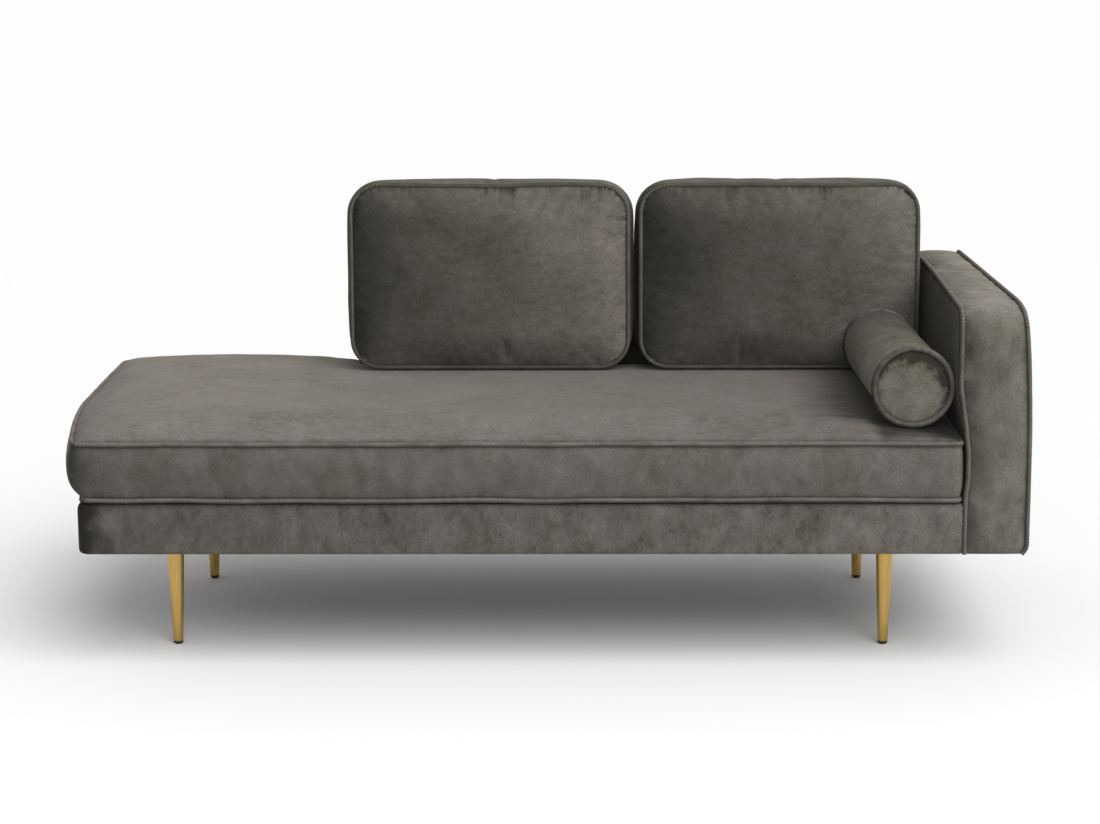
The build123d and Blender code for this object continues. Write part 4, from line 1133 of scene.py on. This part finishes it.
class MERIDIENNE_OT_border(bpy.types.Operator):
    """Stretch the velvet border round the base and turn it under"""

    bl_idname = "meridienne.border"
    bl_label = "Base border"

    def execute(self, context):
        left, right = border_low.x, arm_inner_low.x - 0.0005
        front, rear = border_low.y, rear_border_high.y
        foot, top = border_low.z, border_high.z
        corner, roll, turn_in = 0.022, 0.007, 0.010
        quarter = corner * math.pi / 2
        side_run, end_run = right - left - corner, rear - front - 2 * corner
        runs = np.cumsum([0, side_run, quarter, end_run, quarter, side_run])
        downs = np.cumsum([0, top - foot - roll, roll * math.pi / 2, turn_in])
        cells = zip(runs, runs[1:], (0.010, 0.004, 0.010, 0.004, 0.010))
        along = np.concatenate([*(steps(low, high, cell)[:-1] for low, high, cell in cells), [runs[-1]]])
        cells = zip(downs, downs[1:], (0.008, 0.0025, 0.004))
        down = np.concatenate([*(steps(low, high, cell)[:-1] for low, high, cell in cells), [downs[-1]]])
        piece = flat_panel("base_border", along, down)
        flat = points(piece)
        s, d = flat[:, 0], flat[:, 1]
        first = np.clip((s - runs[1]) / quarter, 0, 1) * math.pi / 2
        second = np.clip((s - runs[3]) / quarter, 0, 1) * math.pi / 2
        x = right - np.clip(s, 0, runs[1]) - corner * np.sin(first) + corner * (1 - np.cos(second))
        x += np.clip(s - runs[4], 0, None)
        y = front + corner * (1 - np.cos(first))
        y += np.clip(s - runs[2], 0, runs[3] - runs[2])
        y += corner * np.sin(second)
        facing = np.column_stack([-np.sin(first + second), -np.cos(first + second)])
        swing = np.clip((d - downs[1]) / (roll * math.pi / 2), 0, 1) * math.pi / 2
        z = np.where(d <= downs[1], top - d, foot + roll - roll * np.sin(swing))
        inward = roll * (1 - np.cos(swing)) + np.clip(d - downs[2], 0, None)
        inward += 0.007 * np.clip(1 - (top - z) / 0.010, 0, 1) ** 2
        strip = np.column_stack([s, d, d * 0])
        wave = 0.0012 * clouds_at(strip, 0.10, 111) + 0.0006 * clouds_at(strip * np.array([1, 0.4, 0]), 0.03, 112)
        wave *= np.clip((top - z) / 0.02, 0, 1) * np.clip((right - x) / 0.03, 0, 1)
        out = (wave - inward)[:, None] * facing
        place_points(piece, np.column_stack([x + out[:, 0], y + out[:, 1], z + 0.4 * wave]))
        store(piece, "away", np.full(len(s), 0.1))
        choose(piece)
        upright = d < downs[1]
        if (outward_normals(piece)[upright, :2] * facing[upright]).sum() < 0:
            flip(piece)
        wall = piece.modifiers.new("Wall", "SOLIDIFY")
        wall.thickness = FABRIC
        wall.offset = -1
        bpy.ops.object.modifier_apply(modifier="Wall")
        tone = velvet("velvet_border", colours().side, seed=11.7, grain=(1.0, 1.0, 0.7), contrast=1.1)
        finish_cover(piece, tone, "chaise", ("front_border", "left_border", "back_border"))
        places = points(piece)
        # painted shade at the left end of the border, as if turned from the light
        at_end = np.clip(1 - (places[:, 0] - left - 0.015) / 0.05 - 0.6 * clouds_at(places, 0.03, 115), 0, 1)
        patches_and_shade = 0.74 + 0.16 * clouds_at(places * np.array([1, 1, 0.7]), 0.035, 116)
        # painted light: the border lightens towards its right end, over random patches of pile
        patches_and_shade *= 0.96 + 0.2 * np.clip(places[:, 0] / 0.8, -1, 1)
        pile = patches_and_shade * (1 - 0.77 * at_end)
        # painted light and shade by the way each place faces
        lay_pile_and_shade(piece, lean=(0.35, 0.0, 0.0), limits=(0.5, 1.3), extra=pile, seam_shade=0.0)
        return {"FINISHED"}


class MERIDIENNE_OT_legs(bpy.types.Operator):
    """Turn the four tapered gold legs and their black glides"""

    bl_idname = "meridienne.legs"
    bl_label = "Legs and glides"

    def execute(self, context):
        gold = brushed_brass("brushed_brass", colours().gold)
        # Moulded polypropylene: black with a satin shine and the fine 2.5 mm grit of its mould
        black = grained_solid("moulded_polypropylene", ("#0E0E0E", "#1A1A19"), scale=400.0, roughness=0.5, relief=0.1)
        for place in ("front_left", "front_right", "rear_left", "rear_right"):
            self.leg(place, gold)
            self.glide(place, black)
        return {"FINISHED"}

    def turned(self, name, node, profile, material, slot):
        """A round piece turned from a profile of radii and heights, standing where its node stands."""
        low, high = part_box(node)
        centre = ((low.x + high.x) / 2, (low.y + high.y) / 2)
        bpy.ops.object.select_all(action="DESELECT")
        bpy.ops.mesh.primitive_circle_add(
            vertices=64, radius=profile[0][0], fill_type="NGON", location=(*centre, profile[0][1])
        )
        piece = bpy.context.object
        piece.name = piece.data.name = name
        bpy.ops.object.transform_apply(location=True, rotation=True, scale=True)
        edit(piece)
        for (radius, height), (wider, higher) in zip(profile, profile[1:]):
            bpy.ops.mesh.extrude_region_move(TRANSFORM_OT_translate={"value": (0, 0, higher - height)})
            if abs(wider - radius) > 1e-9:
                ratio = wider / radius
                bpy.ops.transform.resize(value=(ratio, ratio, 1), center_override=(*centre, higher))
        bpy.ops.mesh.select_all(action="SELECT")
        bpy.ops.mesh.normals_make_consistent(inside=False)
        leave_edit()
        bpy.ops.object.shade_smooth_by_angle(angle=math.radians(40))
        piece.data.materials.append(material)
        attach(piece, "chaise")
        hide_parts(node)
        return piece

    def leg(self, place, material):
        """A tapered tube from the glide up to the dust cover."""
        node, chamfer = f"leg_{place}", 0.0006
        low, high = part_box(node)
        glide_low, glide_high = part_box(f"glide_{place}")
        foot, top = glide_high.x - glide_low.x, high.x - low.x
        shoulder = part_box("dust_cover")[0].z
        levels = np.linspace(low.z, shoulder, 9)
        radii = np.interp(levels, (low.z, shoulder), (foot / 2, top / 2))
        profile = [(radii[0] - chamfer, low.z), *zip(radii, np.r_[low.z + chamfer, levels[1:]])]
        self.turned(f"tube_{place}", node, profile, material, "gold_metal")

    def glide(self, place, material):
        """A moulded glide with a rounded rim under the tube."""
        node = f"glide_{place}"
        low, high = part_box(node)
        radius = (high.x - low.x) / 2
        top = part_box(f"leg_{place}")[0].z
        rim, neck, hidden = 0.004, radius - 0.002, 0.010
        bend = [math.radians(angle) for angle in (0, 22.5, 45, 67.5, 90)]
        profile = [(radius - rim + rim * math.sin(turn), rim - rim * math.cos(turn)) for turn in bend]
        profile += [(radius, top), (neck, top), (neck, top + hidden)]
        self.turned(f"foot_{place}", node, profile, material, "glide_plastic")


class MERIDIENNE_OT_inner_frame(bpy.types.Operator):
    """Give the timber, boards, webbing, cloths and fasteners inside their materials"""

    bl_idname = "meridienne.inner_frame"
    bl_label = "Frame inside"

    def execute(self, context):
        # Planed pine: warm straw yellow, with darker year rings some 8 mm apart along the grain
        pine = grained_solid(
            "planed_pine", ("#A97C4C", "#D0A873"), scale=9.0, roughness=0.6, relief=0.15, stretch=(1.0, 14.0, 14.0)
        )
        # Pressed hardboard: dark brown, with flecks of fibre some 4 mm long
        board = grained_solid("hardboard", ("#4A3222", "#6B4A32"), scale=260.0, roughness=0.55, relief=0.1)
        # Elastic webbing: dull brown black, with ribs 2.5 mm wide
        elastic = woven("elastic_webbing", "#3A3632", thread=0.0025)
        # Deck cloth: near-black plain weave, with threads 1.2 mm wide
        deck = woven("deck_cloth", "#2E2C2A", thread=0.0012)
        # Spunbonded non-woven cloth: matt black, speckled at 2 mm
        felt = grained_solid("non_woven_cloth", ("#121212", "#1E1E1D"), scale=500.0, roughness=0.95, relief=0.3)
        # Zinc-plated steel: pale grey metal with a soft shine, clouded at 3 mm
        zinc = grained_solid(
            "zinc_plated_steel", ("#9FA3A6", "#C3C7C9"), scale=300.0, roughness=0.35, relief=0.05, metallic=1.0
        )
        # Foam and fibre filling: off-white and matt, with tufts of 5 mm
        fibre = grained_solid("fibre_filling", ("#DAD8D2", "#F0EEE8"), scale=200.0, roughness=0.95, relief=0.3)
        finishes = {
            "timber": pine,
            "hardboard": board,
            "webbing": elastic,
            "deck_cloth": deck,
            "dust_cloth": felt,
            "zinc_steel": zinc,
            "foam": fibre,
            "fibre": fibre,
        }
        for part in frame["record"]["subparts"]:
            node = frame["nodes"][part["node"]]
            if node.hide_render:
                continue
            node.data.materials.clear()
            node.data.materials.append(finishes[part["material_slot"]])
        return {"FINISHED"}


class MERIDIENNE_OT_stage(bpy.types.Operator):
    """Set the white floor, the soft light and the camera"""

    bl_idname = "meridienne.stage"
    bl_label = "Stage"

    def execute(self, context):
        self.floor()
        self.world(context.scene)
        self.sun("key_sun", (0.42, -0.62, 0.95), 55, 2.1)
        self.lamp("front_lamp", (0.6, -3.2, 1.6), (0.1, 0.0, 0.4), (2.4, 1.6), 18.0)
        self.camera(context.scene)
        return {"FINISHED"}

    def floor(self):
        """A matt white floor, wide enough to fill every view."""
        bpy.ops.object.select_all(action="DESELECT")
        bpy.ops.mesh.primitive_plane_add(size=60.0, location=(0, 0, 0))
        floor = bpy.context.object
        floor.name = "studio_floor"
        # Painted studio floor: matt white that shows nothing but the soft shadow
        material, tree = new_material("studio_white")
        look = {"Base Color": (0.94, 0.94, 0.94, 1), "Roughness": 0.9, "Specular IOR Level": 0.0}
        add_node(tree, "ShaderNodeOutputMaterial", {"Surface": add_node(tree, "ShaderNodeBsdfPrincipled", look)})
        floor.data.materials.append(material)

    def world(self, scene):
        """White for the camera and for reflections, a softer grey for the light."""
        world = bpy.data.worlds.new("studio")
        world.use_nodes = True
        scene.world = world
        tree = world.node_tree
        tree.nodes.clear()
        rays = add_node(tree, "ShaderNodeLightPath")
        seen, glossy, clear = (rays.outputs[f"Is {kind} Ray"] for kind in ("Camera", "Glossy", "Transmission"))
        shown = add_node(tree, "ShaderNodeMath", {0: seen, 1: glossy}, operation="MAXIMUM")
        shown = add_node(tree, "ShaderNodeMath", {0: shown, 1: clear}, operation="MAXIMUM")
        strength = add_node(tree, "ShaderNodeMapRange", {"Value": shown, "To Min": WORLD_LIGHT, "To Max": 1.0})
        light = add_node(tree, "ShaderNodeBackground", {"Color": (1, 1, 1, 1), "Strength": strength})
        add_node(tree, "ShaderNodeOutputWorld", {"Surface": light})

    def sun(self, name, towards, spread, strength):
        """A very soft sun, so that the floor is lit evenly as far as it reaches."""
        data = bpy.data.lights.new(name, "SUN")
        data.angle = math.radians(spread)
        data.energy = strength
        lamp = bpy.data.objects.new(name, data)
        bpy.context.scene.collection.objects.link(lamp)
        lamp.rotation_euler = (-Vector(towards)).to_track_quat("-Z", "Y").to_euler()

    def lamp(self, name, place, target, size, power):
        """A soft box aimed at a point."""
        data = bpy.data.lights.new(name, "AREA")
        data.shape = "RECTANGLE"
        data.size, data.size_y = size
        data.energy = power
        lamp = bpy.data.objects.new(name, data)
        bpy.context.scene.collection.objects.link(lamp)
        lamp.location = place
        lamp.rotation_euler = (Vector(target) - Vector(place)).to_track_quat("-Z", "Y").to_euler()

    def camera(self, scene):
        """The photograph's view: a long lens above eye level, tilted down and let down a little."""
        tilt, yaw, roll = (math.radians(angle) for angle in CAMERA_ANGLES)
        ahead = Vector((math.sin(yaw) * math.cos(tilt), math.cos(yaw) * math.cos(tilt), -math.sin(tilt)))
        right = Vector((math.cos(yaw), -math.sin(yaw), 0))
        up = right.cross(ahead)
        across = right * math.cos(roll) + up * math.sin(roll)
        upward = up * math.cos(roll) - right * math.sin(roll)
        data = bpy.data.cameras.new("camera")
        data.sensor_width = SENSOR
        data.lens = CAMERA_FOCUS / PHOTO_WIDTH * SENSOR
        data.shift_y = -0.10
        camera = bpy.data.objects.new("camera", data)
        scene.collection.objects.link(camera)
        turn = Matrix((across, upward, -ahead)).transposed().to_4x4()
        camera.matrix_world = Matrix.Translation(CAMERA_PLACE) @ turn
        scene.camera = camera
        scene.view_settings.view_transform = "Standard"


class MERIDIENNE_PT_panel(bpy.types.Panel):
    """Lists the pieces and their sizes and colours"""

    bl_idname = "MERIDIENNE_PT_panel"
    bl_label = "Meridienne"
    bl_space_type = "VIEW_3D"
    bl_region_type = "UI"
    bl_category = "Meridienne"

    def draw(self, context):
        for operator in OPERATORS:
            self.layout.operator(operator.bl_idname)
        for group in (sizes(), colours()):
            for name in group.__annotations__:
                self.layout.prop(group, name)


OPERATORS = (
    MERIDIENNE_OT_seat,
    MERIDIENNE_OT_back_cushions,
    MERIDIENNE_OT_bolster,
    MERIDIENNE_OT_arm,
    MERIDIENNE_OT_backrest,
    MERIDIENNE_OT_border,
    MERIDIENNE_OT_legs,
    MERIDIENNE_OT_inner_frame,
    MERIDIENNE_OT_stage,
)
CLASSES = (MeridienneSizes, MeridienneColours, *OPERATORS, MERIDIENNE_PT_panel)


def register():
    for piece in CLASSES:
        bpy.utils.register_class(piece)
    bpy.types.Scene.meridienne_sizes = PointerProperty(type=MeridienneSizes)
    bpy.types.Scene.meridienne_colours = PointerProperty(type=MeridienneColours)


def unregister():
    del bpy.types.Scene.meridienne_colours
    del bpy.types.Scene.meridienne_sizes
    for piece in reversed(CLASSES):
        bpy.utils.unregister_class(piece)


def main():
    register()
    velvet("velvet_welt", colours().side, seed=13.3, grain=(1, 1, 1), contrast=0.5)
    velvet("velvet_back_welt", colours().back_welt, seed=14.9, grain=(1, 1, 1), contrast=0.5)
    bpy.ops.meridienne.seat()
    bpy.ops.meridienne.back_cushions()
    bpy.ops.meridienne.bolster()
    bpy.ops.meridienne.arm()
    bpy.ops.meridienne.backrest()
    bpy.ops.meridienne.border()
    bpy.ops.meridienne.legs()
    bpy.ops.meridienne.inner_frame()
    bpy.ops.meridienne.stage()


if __name__ == "__main__":
    main()
